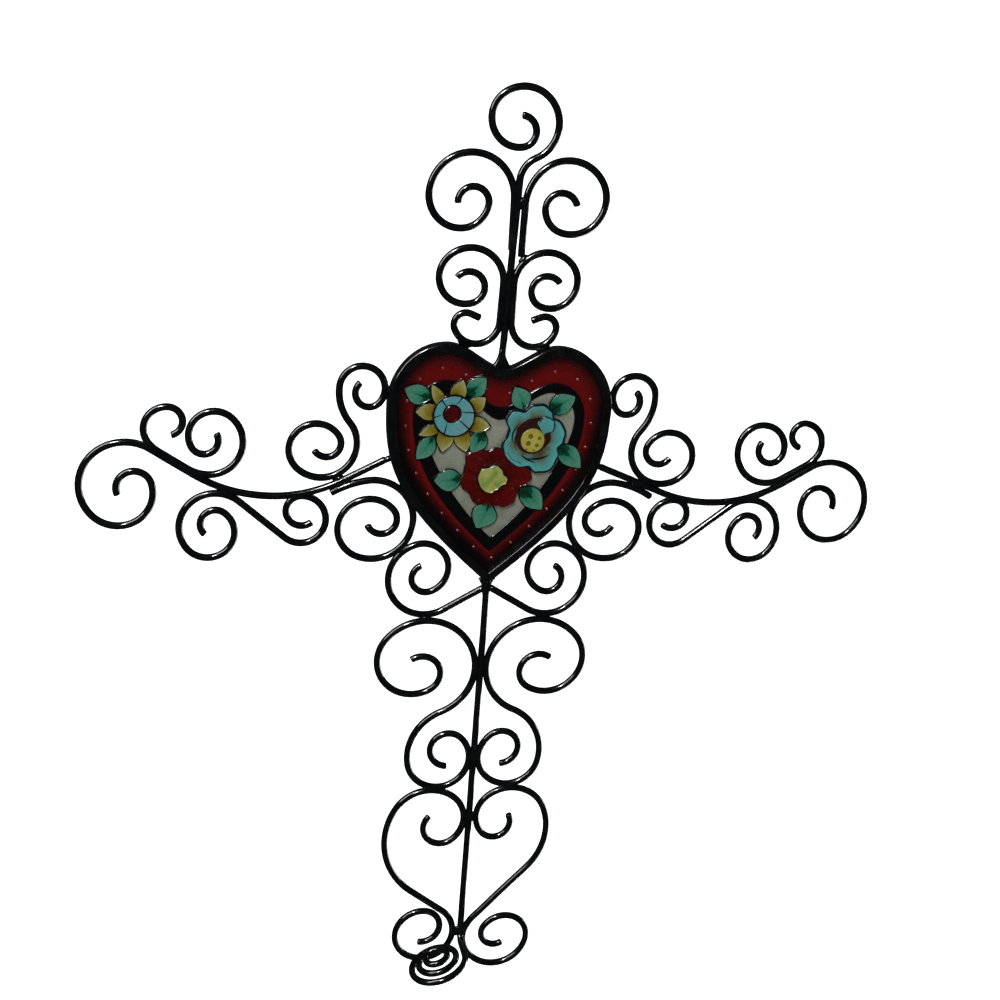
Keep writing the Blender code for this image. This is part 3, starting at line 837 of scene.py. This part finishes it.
def blade(root, tip, width, base=0.0, fullness=0.42, bend=0.0, edge=0.0009, hollow=0.0, groove=0.0, grow=0.0):
    """A leaf or petal from root to tip as a filling that sinks inside its own edge.

    width is its widest, base its half width at the root as a share of that, fullness
    where along it is widest, bend its sideways curve, edge how far its edge stands off
    the face, hollow how far it sinks inside that, groove the depth of its vein and grow
    how much larger it is all round. The shares along and across it come with it.
    """
    rows, columns, vein_width, side_drop = 26, 17, 0.13, 0.0001
    root, tip = np.array(root, float), np.array(tip, float)
    along = tip - root
    length = np.hypot(*along)
    along = along / length
    across = np.array((-along[1], along[0]))
    root = root - along * grow
    length = length + 2 * grow
    u = (1 - np.cos(np.pi * np.linspace(0, 1, rows))) / 2
    v = np.sin(np.pi / 2 * np.linspace(-1, 1, columns))
    power = math.log(0.5) / math.log(fullness)
    rooted = base * (1 - u) ** 2
    half = width / 2 * (rooted + np.sin(np.pi * u ** power) ** 0.85 * (1 - rooted)) + grow
    half = half * np.where((u == 1) | ((u == 0) & (base == 0)), 0, 1)
    curve = bend * length * 4 * u * (1 - u)
    spine = root + (u * length)[:, None] * along + curve[:, None] * across
    flat = spine[:, None, :] + (half[:, None] * v)[:, :, None] * across
    to_side = half[:, None] * (1 - np.abs(v))[None, :]
    to_end = (np.minimum(u + base, 1 - u) * length)[:, None]
    sunk = 1 - np.exp(-np.minimum(to_side, 0.6 * to_end) / MENISCUS)
    vein = np.exp(-(v / vein_width) ** 2)[None, :] * np.clip(1.15 - u, 0, 1)[:, None]
    lift = edge - hollow * sunk - groove * vein * sunk
    lift[:, (0, -1)] -= side_drop
    return (standing(flat, lift), *np.meshgrid(u, v, indexing="ij"))


def polar(middle, reach, lift, inside=0.0, start=0.0, turn=2 * math.pi, columns=97, rows=12,
          inner_middle=None):
    """A round or lobed body: reach and lift are functions of the angle and the share outwards.

    inside is the radius of its hole round inner_middle. The shares outwards and the
    angles of its grid come with it.
    """
    middle = np.array(middle, float)
    inner_middle = middle if inner_middle is None else np.array(inner_middle, float)
    angles = start + turn * np.linspace(0, 1, columns)
    shares = np.sin(np.pi / 2 * np.linspace(0, 1, rows))
    directions = np.stack((np.cos(angles), np.sin(angles)), axis=1)
    outer = middle + np.array([reach(a) for a in angles])[:, None] * directions
    inner = inner_middle + inside * directions
    flat = inner[None] + shares[:, None, None] * (outer - inner)[None]
    raised = np.array([[lift(a, s) for a in angles] for s in shares])
    return (standing(flat, raised), *np.meshgrid(shares, angles, indexing="ij"))


def round_reach(pairs):
    """A smooth closed reach through (degrees, radius) pairs."""
    pairs = sorted((math.radians(d % 360), r) for d, r in pairs)
    angles = np.array([a for a, _ in pairs])
    radii = np.array([r for _, r in pairs])
    angles = np.concatenate((angles[-1:] - 2 * math.pi, angles, angles[:1] + 2 * math.pi))
    radii = np.concatenate((radii[-1:], radii, radii[:1]))

    def reach(angle):
        angle = angle % (2 * math.pi)
        i = int(np.clip(np.searchsorted(angles, angle) - 1, 0, len(angles) - 2))
        share = (angle - angles[i]) / (angles[i + 1] - angles[i])
        ease = (1 - math.cos(math.pi * share)) / 2
        return radii[i] + (radii[i + 1] - radii[i]) * ease
    return reach


def painted(name, body, tone, material):
    """An enamel piece of one tone, or with a grid of tones over its face, repeated under it."""
    tones = np.tile(tone.ravel(), 2) if np.ndim(tone) else np.full(len(body[0]), tone)
    piece_from(name, *body, material, "enamel", tones)


def plate(name, middle, reach, height, tone, material, columns=97):
    """A level painted plate under a flower or its eye."""
    body, _, _ = polar(middle, reach, lambda angle, share: height, columns=columns)
    painted(name, body, tone, material)


def filled(edge, hollow, radius):
    """A lift that sinks inside its edge, for a round piece."""
    return lambda angle, share: edge - hollow * (1 - math.exp(-(1 - share) * radius / MENISCUS))


# Leaves: root, tip, width, sideways bend and where the dark base ends.
LEAVES = (
    ((-0.0318, 0.0464), (-0.0434, 0.0504), 0.0086, 0.04, 0.30),
    ((-0.0160, 0.0484), (-0.0082, 0.0562), 0.0084, -0.05, 0.36),
    ((-0.0296, 0.0292), (-0.0364, 0.0190), 0.0076, 0.05, 0.20),
    ((-0.0078, 0.0322), (-0.0124, 0.0226), 0.0078, 0.06, 0.40),
    ((0.0100, 0.0426), (0.0051, 0.0523), 0.0086, -0.06, 0.16),
    ((0.0218, 0.0418), (0.0325, 0.0488), 0.0090, 0.03, 0.38),
    ((0.0266, 0.0260), (0.0378, 0.0166), 0.0088, 0.04, 0.40),
    ((-0.0158, 0.0106), (-0.0279, 0.0092), 0.0098, 0.04, 0.26),
    ((-0.0024, -0.0008), (-0.0074, -0.0123), 0.0112, 0.05, 0.18),
    ((0.0114, 0.0062), (0.0218, -0.0032), 0.0092, 0.04, 0.40),
)

# Petals of the first flower: middle of the root on the ring, tip, width.
SUN_MIDDLE = (-0.0211, 0.0388)
SUN_EYE = (-0.0220, 0.0398)
SUN_RING_RADIUS = 0.0087
SUN_RING_HOLE = 0.0042
SUN_EYE_RADIUS = 0.0034
SUN_PETALS = (
    ((-0.0268, 0.0444), (-0.0317, 0.0524), 0.0050),
    ((-0.0206, 0.0466), (-0.0180, 0.0549), 0.0068),
    ((-0.0130, 0.0424), (-0.0077, 0.0473), 0.0068),
    ((-0.0128, 0.0353), (-0.0046, 0.0342), 0.0070),
    ((-0.0172, 0.0308), (-0.0147, 0.0227), 0.0074),
    ((-0.0238, 0.0310), (-0.0253, 0.0224), 0.0074),
    ((-0.0284, 0.0330), (-0.0360, 0.0298), 0.0046),
    ((-0.0298, 0.0402), (-0.0380, 0.0401), 0.0072),
)
SUN_DIVISIONS = (11, 69, 131, 186, 244, 321, 371)

# The second flower: reach by degrees, and the degrees between its petals.
AQUA_MIDDLE = (0.0146, 0.0292)
AQUA_REACH = (
    (143, 0.0146), (129, 0.0154), (108, 0.0126), (90, 0.0149), (74, 0.0157), (60, 0.0148), (47, 0.0129),
    (30, 0.0145), (14, 0.0149), (-3, 0.0140), (-17, 0.0122), (-34, 0.0145), (-58, 0.0164), (-78, 0.0152),
    (-93, 0.0123), (-116, 0.0138), (-143, 0.0139), (-162, 0.0133), (174, 0.0107), (160, 0.0107),
)
AQUA_CREASES = (108, 47, -17, -93, 167)
AQUA_CUP = (
    (96, 0.0094), (76, 0.0098), (50, 0.0078), (8, 0.0086), (-40, 0.0068), (-90, 0.0066),
    (-140, 0.0070), (180, 0.0074), (140, 0.0086),
)
# Brush lines on the second flower: root, tip, width and sideways bend.
AQUA_STROKES = (
    ((0.0104, 0.0218), (0.0168, 0.0186), 0.0007, -0.06),
    ((0.0136, 0.0203), (0.0228, 0.0221), 0.0008, -0.08),
    ((0.0058, 0.0276), (0.0090, 0.0366), 0.0006, 0.16),
    ((0.0072, 0.0258), (0.0098, 0.0350), 0.0004, 0.14),
    ((0.0108, 0.0352), (0.0168, 0.0388), 0.0008, 0.05),
    ((0.0164, 0.0390), (0.0252, 0.0352), 0.0007, 0.14),
)
# Dots of its eye: aside and up from the eye's middle, and radius.
AQUA_EYE_SPOTS = (
    (-0.0012, 0.0020, 0.0012), (0.0028, 0.0012, 0.0009), (-0.0020, -0.0012, 0.0012),
    (0.0018, -0.0020, 0.0009), (-0.0026, -0.0040, 0.0006), (0.0006, -0.0042, 0.0005),
)

# The third flower: reach by degrees, the degrees between its petals, its eye's reach, and
# its beads by degrees and distance from the eye's edge.
RED_MIDDLE = (-0.0019, 0.0098)
RED_REACH = (
    (136, 0.0166), (118, 0.0155), (103, 0.0134), (86, 0.0147), (68, 0.0142), (50, 0.0130), (30, 0.0150),
    (13, 0.0176), (3, 0.0177), (-4, 0.0158), (-12, 0.0131), (-25, 0.0126), (-45, 0.0143), (-60, 0.0136),
    (-76, 0.0117), (-92, 0.0111), (-110, 0.0118), (-125, 0.0123), (-149, 0.0114), (-166, 0.0135),
    (180, 0.0143), (166, 0.0132), (152, 0.0139),
)
RED_CREASES = (96, 44, -18, -88, -149, 158)
RED_EYE_REACH = (
    (79, 0.0070), (57, 0.0064), (29, 0.0055), (9, 0.0067), (-6, 0.0063), (-27, 0.0045), (-65, 0.0045),
    (-97, 0.0056), (-127, 0.0057), (-158, 0.0058), (161, 0.0066), (136, 0.0070), (108, 0.0059),
)
RED_BEADS = (
    (118, 0.0016), (100, 0.0013), (84, 0.0010), (68, 0.0012), (64, 0.0036), (150, 0.0016),
    (176, 0.0014), (177, 0.0032), (122, 0.0050), (-120, 0.0050), (-70, 0.0052), (-20, 0.0052),
)


def build_leaves(finish):
    """Leaves with a dark base, a vein and a thin dark outline."""
    for i, (root, tip, width, bend, dark) in enumerate(LEAVES):
        leaf = {"fullness": 0.46, "bend": bend}
        body, _, _ = blade(root, tip, width, edge=0.00078, grow=0.00050, **leaf)
        painted(f"leaf_outline_{i}", body, 0.4, finish["outline"])
        body, u, v = blade(root, tip, width, edge=0.0014, hollow=0.0004, groove=0.00015, **leaf)
        light = 0.40 + 0.34 * np.tanh(6 * (u - 1.15 * dark + 0.24 * v ** 2)) + 0.20 * u + 0.08 * np.abs(v)
        tone = light - 0.30 * np.exp(-(v / 0.09) ** 2) * (u < 0.72)
        painted(f"leaf_{i}", body, np.clip(tone, 0, 1), finish["leaf"])


def build_sunflower(finish):
    """Eight pointed petals, a ring in six parts and a red eye."""
    petal = {"base": 0.9, "fullness": 0.30}
    for i, (root, tip, width) in enumerate(SUN_PETALS):
        body, _, _ = blade(root, tip, width, edge=0.0008, grow=0.00048, **petal)
        painted(f"petal_outline_{i}", body, 0.3, finish["outline"])
        body, u, v = blade(root, tip, width, edge=0.0014, hollow=0.0004, **petal)
        tone = 1.05 * u + 0.04 + 0.22 * math.cos(2.4 * i) * v + 0.22 * v ** 2
        painted(f"petal_{i}", body, np.clip(tone, 0, 1), finish["ochre"])
    plate(
        "sunflower_ring_outline", SUN_MIDDLE, lambda a: SUN_RING_RADIUS + 0.0008, 0.0015, 0.4,
        finish["outline"])
    across = SUN_RING_RADIUS - SUN_RING_HOLE
    middle_radius, gap = 0.0065, 5.0
    for i, (start, end) in enumerate(zip(SUN_DIVISIONS, SUN_DIVISIONS[1:])):
        first, turn = math.radians(start + gap / 2), math.radians(end - start - gap)

        def lift(angle, share, first=first, turn=turn):
            side = middle_radius * min(angle - first, first + turn - angle)
            near = max(0.0, min(side, across * share, across * (1 - share)))
            return 0.0020 - 0.00036 * (1 - math.exp(-near / MENISCUS))
        body, s, a = polar(
            SUN_MIDDLE, lambda a: SUN_RING_RADIUS, lift, inside=SUN_RING_HOLE, start=first, turn=turn,
            columns=21, inner_middle=SUN_EYE)
        # The tone rises outwards, and its sine round the ring is painted sheen: greyer on one side, deeper
        # blue on the other.
        painted(f"sunflower_ring_{i}", body, 0.30 + 0.3 * s + 0.2 * np.sin(a + 2), finish["blue"])
    body, _, _ = polar(SUN_EYE, lambda a: SUN_EYE_RADIUS, filled(0.0021, 0.0004, SUN_EYE_RADIUS))
    painted("sunflower_eye", body, 0.5, finish["eye_red"])


def furrows(angle, creases, width):
    """How near an angle is to any of the creases, from 0 to 1 for each."""
    away = [(angle - math.radians(crease) + math.pi) % (2 * math.pi) - math.pi for crease in creases]
    return [np.exp(-(gap / width) ** 2) for gap in away]


def creased(creases, reach, edge, hollow, furrow_depth):
    """A lift that sinks inside its edge, with a furrow between neighbouring petals."""
    def lift(angle, share):
        furrow = max(furrows(angle, creases, 0.06))
        sunk = 1 - math.exp(-(1 - share) * reach(angle) / MENISCUS)
        return edge - hollow * sunk - furrow_depth * furrow * sunk
    return lift


def build_aqua_flower(finish):
    """Five round petals with shaded throats, a dark red cup and a yellow eye with dots."""
    reach = round_reach(AQUA_REACH)
    plate("aqua_outline", AQUA_MIDDLE, lambda a: reach(a) + 0.0009, 0.0012, 0.3, finish["teal_outline"], 181)
    lift = creased(AQUA_CREASES, reach, 0.0018, 0.0004, 0.00012)
    body, s, a = polar(AQUA_MIDDLE, lambda a: reach(a) - 0.0002, lift, columns=181, rows=22)
    wave = 0.08 * np.sin(3 * a + 1.0) + 0.05 * np.sin(7 * a) - 0.10 * np.cos(a - 1.5)
    painted("aqua_petals", body, np.clip((s - 0.50) * 1.9 + wave, 0, 1), finish["aqua"])
    body, s, _ = polar(AQUA_MIDDLE, round_reach(AQUA_CUP), lambda a, s: 0.0018 - 0.0003 * s ** 4)
    painted("aqua_cup", body, 0.2 + 0.7 * s, finish["throat"])
    strokes = [
        blade(root, tip, width, base=0.3, fullness=0.45, bend=bend, edge=0.0017)[0]
        for root, tip, width, bend in AQUA_STROKES
    ]
    painted("aqua_strokes", merge(strokes), 0.5, finish["outline"])
    petal = dict(root=(0.0180, 0.0340), tip=(0.0236, 0.0376), width=0.0070, base=0.9, fullness=0.55)
    body, _, _ = blade(edge=0.0018, grow=0.0005, **petal)
    painted("aqua_inner_petal_outline", body, 0.6, finish["teal_outline"])
    body, u, _ = blade(edge=0.0022, hollow=0.0003, **petal)
    painted("aqua_inner_petal", body, 0.62 + 0.3 * u, finish["aqua"])
    eye = (AQUA_MIDDLE[0] + 0.0002, AQUA_MIDDLE[1] - 0.0004)
    eye_radius, eye_edge, eye_crown, spot_height, spot_sink = 0.0054, 0.0020, 0.0007, 0.00016, 0.00002

    def eye_lift(share):
        return eye_edge + eye_crown * math.sqrt(max(0.0, 1 - share ** 4))
    body, s, _ = polar(eye, lambda a: eye_radius, lambda a, s: eye_lift(s))
    painted("aqua_eye", body, 0.35 + 0.4 * (1 - s), finish["eye_yellow"])
    spots = []
    for x, z, size in AQUA_EYE_SPOTS:
        lift = eye_lift(math.hypot(x, z) / eye_radius) - spot_sink
        spots.append(bead((eye[0] + x, eye[1] + z), size, spot_height, lift))
    painted("aqua_eye_spots", merge(spots), 0.5, finish["brown"])


def build_red_flower(finish):
    """Six round dark red petals with beads round a lobed yellow-green eye."""
    reach, eye = round_reach(RED_REACH), round_reach(RED_EYE_REACH)
    plate("red_outline", RED_MIDDLE, lambda a: reach(a) + 0.00045, 0.0010, 0.2, finish["outline"], 181)
    lift = creased(RED_CREASES, reach, 0.0016, 0.0004, 0.00010)
    body, s, a = polar(RED_MIDDLE, reach, lift, columns=181, rows=22)
    # Painted shade darkens the furrows between the petals, painted light lightens two opposite sides, and the
    # tone dips in a ring near the eye.
    shade = 0.10 * np.sin(2 * a + 2.2) - 0.22 * np.exp(-((s - 0.42) / 0.10) ** 2)
    for furrow in furrows(a, RED_CREASES, 0.07):
        shade = shade - 0.30 * furrow * s
    painted("red_petals", body, np.clip(0.36 + 0.30 * s + shade, 0, 1), finish["dark_red"])
    plate("red_eye_outline", RED_MIDDLE, lambda a: eye(a) + 0.0006, 0.0014, 0.1, finish["outline"])
    body, s, a = polar(RED_MIDDLE, eye, filled(0.0021, 0.0004, 0.006), columns=121)
    tone = 0.45 + 0.30 * np.sin(3 * a + 0.5) * s + 0.30 * s ** 3
    painted("red_eye", body, np.clip(tone, 0, 1), finish["eye_green"])
    bodies = []
    for degrees, out in RED_BEADS:
        angle = math.radians(degrees)
        size = eye(angle) + out
        spot = (RED_MIDDLE[0] + size * math.cos(angle), RED_MIDDLE[1] + size * math.sin(angle))
        bodies.append(bead(spot, 0.00050, 0.00046, lift=0.0011))
    painted("red_flower_beads", merge(bodies), 0.4, finish["dark_red"])


# Rods and welds

def build_rods(finish, paths, stem):
    """Every rod as a smooth bent bar in its node's place."""
    bars = [
        (f"rod_{name}", name, in_frame(path), seed)
        for seed, (name, path) in enumerate(sorted(paths.items()), 1)
    ]
    points = stem_points(stem[0][1] + ROD_TO_EDGE, bend_count=14, coil_count=220)
    bars.append(("rod_stem", "stem_rod", points, 40))
    for name, node, points, seed in bars:
        rod = piece_from(name, *rod_mesh(points, seed), finish["lacquer"], "black_lacquer", flat_angle=60)
        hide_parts(node)


def contacts(path, line, reach):
    """Places where a path comes nearest to a line: (point between, direction along)."""
    gap = np.sqrt(((path[:, None, :] - line[None, :, :]) ** 2).sum(axis=2))
    least, at = gap.min(axis=1), gap.argmin(axis=1)
    found = []
    for i in range(len(path)):
        window = least[max(0, i - 12):i + 13]
        if least[i] < reach and least[i] == window.min():
            along = path[min(i + 3, len(path) - 1)] - path[max(i - 3, 0)]
            point = (path[i] + line[at[i]]) / 2
            if all(np.hypot(*(point - other)) > WELD_SPACING for other, _ in found):
                found.append((point, along / np.hypot(*along)))
    return found


def lump(middle, along, sizes, seed):
    """A lump of weld metal: sizes along the rods, across them and in depth."""
    shape = bmesh.new()
    bmesh.ops.create_icosphere(shape, subdivisions=3, radius=1.0)
    points = np.array([v.co for v in shape.verts])
    faces = [tuple(v.index for v in face.verts) for face in shape.faces]
    shape.free()
    across = np.array((-along[1], along[0]))
    vertices = []
    for p in points:
        ripple = 1 + WELD_RIPPLE * noise.noise(Vector(p * 1.7) + Vector((seed * 5.3, seed * 2.1, 0)))
        flat = middle + ripple * (p[0] * sizes[0] * along + p[2] * sizes[1] * across)
        vertices.append((flat[0], p[1] * sizes[2] * ripple, flat[1] - HOOK_HEIGHT))
    return vertices, faces


def dense(line):
    """A chain of straight runs with points at short steps."""
    along = run_lengths(line)
    return at_stations(line, along, np.arange(0, along[-1], FINE_STEP))


def build_welds(finish, paths, stem):
    """Weld metal in the grooves where rods meet each other and the heart."""
    heart = dense(closed(heart_shape(HEART_FINE_POINTS)))
    straight_stem = dense(stem)
    fine = {name: dense(path) for name, path in paths.items()}
    for side in ("left", "right"):
        names = sorted(name for name in fine if name.endswith(side))
        bodies = []
        seed = 1 if side == "left" else 50
        for i, name in enumerate(names):
            others = [fine[other] for other in names[i + 1:]] + [fine["hanger_rod"], straight_stem]
            for line in others:
                for point, along in contacts(fine[name], line, ROD_DIAMETER + ROD_WELD_GAP):
                    bodies.append(lump(point, along, (0.0026, 0.0012, 0.00135), seed))
                    seed += 1
            for point, along in contacts(fine[name], heart, ROD_RADIUS + HEART_WELD_GAP):
                bodies.append(lump(point, along, (0.0034, 0.0014, 0.0014), seed))
                seed += 1
        piece_from(f"welds_{side}", *merge(bodies), finish["lacquer"], "black_lacquer")


def flare(middle, height, foot, depth, seed):
    """A fillet of weld metal that widens from a rod down to what it stands on."""
    levels, sides, fall, ripple = 8, 28, 2.4, 0.00025
    top = ROD_RADIUS * 0.98
    turn = 2 * np.pi * np.arange(sides) / sides
    shift = Vector((seed, 0, 0))
    rings = []
    for k in range(levels + 1):
        share = k / levels
        half = top + (foot - top) * (1 - share) ** fall
        deep = ROD_RADIUS + (depth - ROD_RADIUS) * (1 - share) ** fall
        ring = np.stack((
            middle[0] + half * np.cos(turn), deep * np.sin(turn),
            np.full(sides, middle[1] + height * share - HOOK_HEIGHT)), axis=1)
        for i in range(sides):
            ring[i] += ripple * (1 - share) * np.array(noise.noise_vector(Vector(ring[i] * 700) + shift))
        rings.append(ring)
    return loft(rings)


def build_flares(finish):
    """Weld fillets at the hanger's foot in the cleft and at the heart's tip."""
    # Vector noise takes its offsets from the clock unless it is seeded.
    noise.seed_set(7)
    cleft = (HEART_SHIFT - HANGER_LEAN * 0.9, HEART_CLEFT_HEIGHT - 0.0006)
    tip = (HEART_SHIFT * 0.6, HEART_TIP_HEIGHT + 0.0012)
    bodies = [flare(cleft, 0.0085, 0.0052, 0.0016, 3), flare(tip, -0.0078, 0.0040, 0.0016, 8)]
    piece_from("welds_middle", *merge(bodies), finish["lacquer"], "black_lacquer")


# Camera, light and floor

def add_camera():
    """The photograph's own viewpoint."""
    azimuth, elevation, roll = (math.radians(v) for v in (CAMERA_AZIMUTH, CAMERA_ELEVATION, CAMERA_ROLL))
    level = math.cos(elevation)
    back = Vector((math.sin(azimuth) * level, -math.cos(azimuth) * level, math.sin(elevation)))
    right = Vector((math.cos(azimuth), math.sin(azimuth), 0))
    up = right.cross(-back)
    across = math.cos(roll) * right - math.sin(roll) * up
    upward = math.sin(roll) * right + math.cos(roll) * up
    data = bpy.data.cameras.new("camera")
    data.lens = CAMERA_LENS
    data.sensor_width = CAMERA_SENSOR
    camera = linked("camera", data)
    matrix = Matrix((across, upward, back)).transposed().to_4x4()
    matrix.translation = CAMERA_DISTANCE * back + Vector((CAMERA_ASIDE, 0, -HOOK_HEIGHT))
    camera.matrix_world = matrix
    bpy.context.scene.camera = camera


def add_light(name, place, size, power, mirrored=True, lights_faces=True):
    """A soft area light that faces the heart, and may be seen in gloss or light matt faces alone."""
    data = bpy.data.lights.new(name, "AREA")
    data.shape = "RECTANGLE"
    data.size, data.size_y = size
    data.energy = power
    light = linked(name, data)
    light.visible_glossy = mirrored
    light.visible_diffuse = lights_faces
    light.visible_camera = False
    light.location = place
    aim = Vector((0, 0, -HOOK_HEIGHT)) - Vector(place)
    light.rotation_mode = "QUATERNION"
    light.rotation_quaternion = aim.to_track_quat("-Z", "Y")


def add_surround(material):
    """A pale ball round everything, which shows behind the cross from any side and lights nothing."""
    shape = bmesh.new()
    bmesh.ops.create_icosphere(shape, subdivisions=4, radius=9.0)
    mesh = bpy.data.meshes.new("surround")
    shape.to_mesh(mesh)
    shape.free()
    mesh.materials.append(material)
    surround = linked("surround", mesh)
    surround.visible_diffuse = False
    surround.visible_glossy = False
    surround.visible_transmission = False
    surround.visible_shadow = False


def add_stage():
    """A pale floor that sweeps up into a wall far behind, and a dim even sky."""
    floor_height, wall, radius, half_width = -1.25, 1.9, 0.8, 4.0
    profile = [(-3.0, floor_height)]
    for k in range(13):
        angle = math.pi / 2 * k / 12
        height = floor_height + radius * (1 - math.cos(angle))
        profile.append((wall - radius + radius * math.sin(angle), height))
    profile.append((wall, 4.0))
    vertices = [(x, y, z) for x in (-half_width, half_width) for y, z in profile]
    count = len(profile)
    faces = [(k, k + 1, count + k + 1, count + k) for k in range(count - 1)]
    mesh = bpy.data.meshes.new("floor")
    mesh.from_pydata(vertices, [], faces)
    mesh.shade_smooth()
    material = bpy.data.materials.new("pale_floor")
    material.use_nodes = True
    shader = material.node_tree.nodes["Principled BSDF"]
    shader.inputs["Base Color"].default_value = (0.9, 0.9, 0.9, 1)
    shader.inputs["Roughness"].default_value = 0.9
    shader.inputs["Emission Color"].default_value = (1, 1, 1, 1)
    shader.inputs["Emission Strength"].default_value = 1.0
    mesh.materials.append(material)
    floor = linked("floor", mesh)
    floor.visible_glossy = False
    add_surround(material)
    world = bpy.data.worlds.new("studio")
    world.use_nodes = True
    sky = world.node_tree.nodes["Background"]
    sky.inputs["Color"].default_value = (1, 1, 1, 1)
    sky.inputs["Strength"].default_value = 0.02
    bpy.context.scene.world = world
    bpy.context.scene.view_settings.view_transform = "Standard"


def main():
    """Dress the whole cross."""
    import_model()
    finish = make_materials()
    paths, stem = all_paths()
    build_rods(finish, paths, stem)
    build_welds(finish, paths, stem)
    build_flares(finish)
    build_tray(finish)
    build_ground(finish)
    build_dots(finish)
    build_leaves(finish)
    build_sunflower(finish)
    build_red_flower(finish)
    build_aqua_flower(finish)
    add_stage()
    add_camera()
    add_light("key", (-0.55, -0.95, 0.95), (0.22, 0.22), 20)
    add_light("fill", (0.9, -1.2, 0.1), (0.9, 0.9), 4, mirrored=False)
    add_light("right_strip", (1.0, 0.35, -0.80), (0.30, 1.40), 18, lights_faces=False)
    add_light("left_strip", (-0.95, -0.45, 0.65), (0.22, 1.0), 13, lights_faces=False)


main()
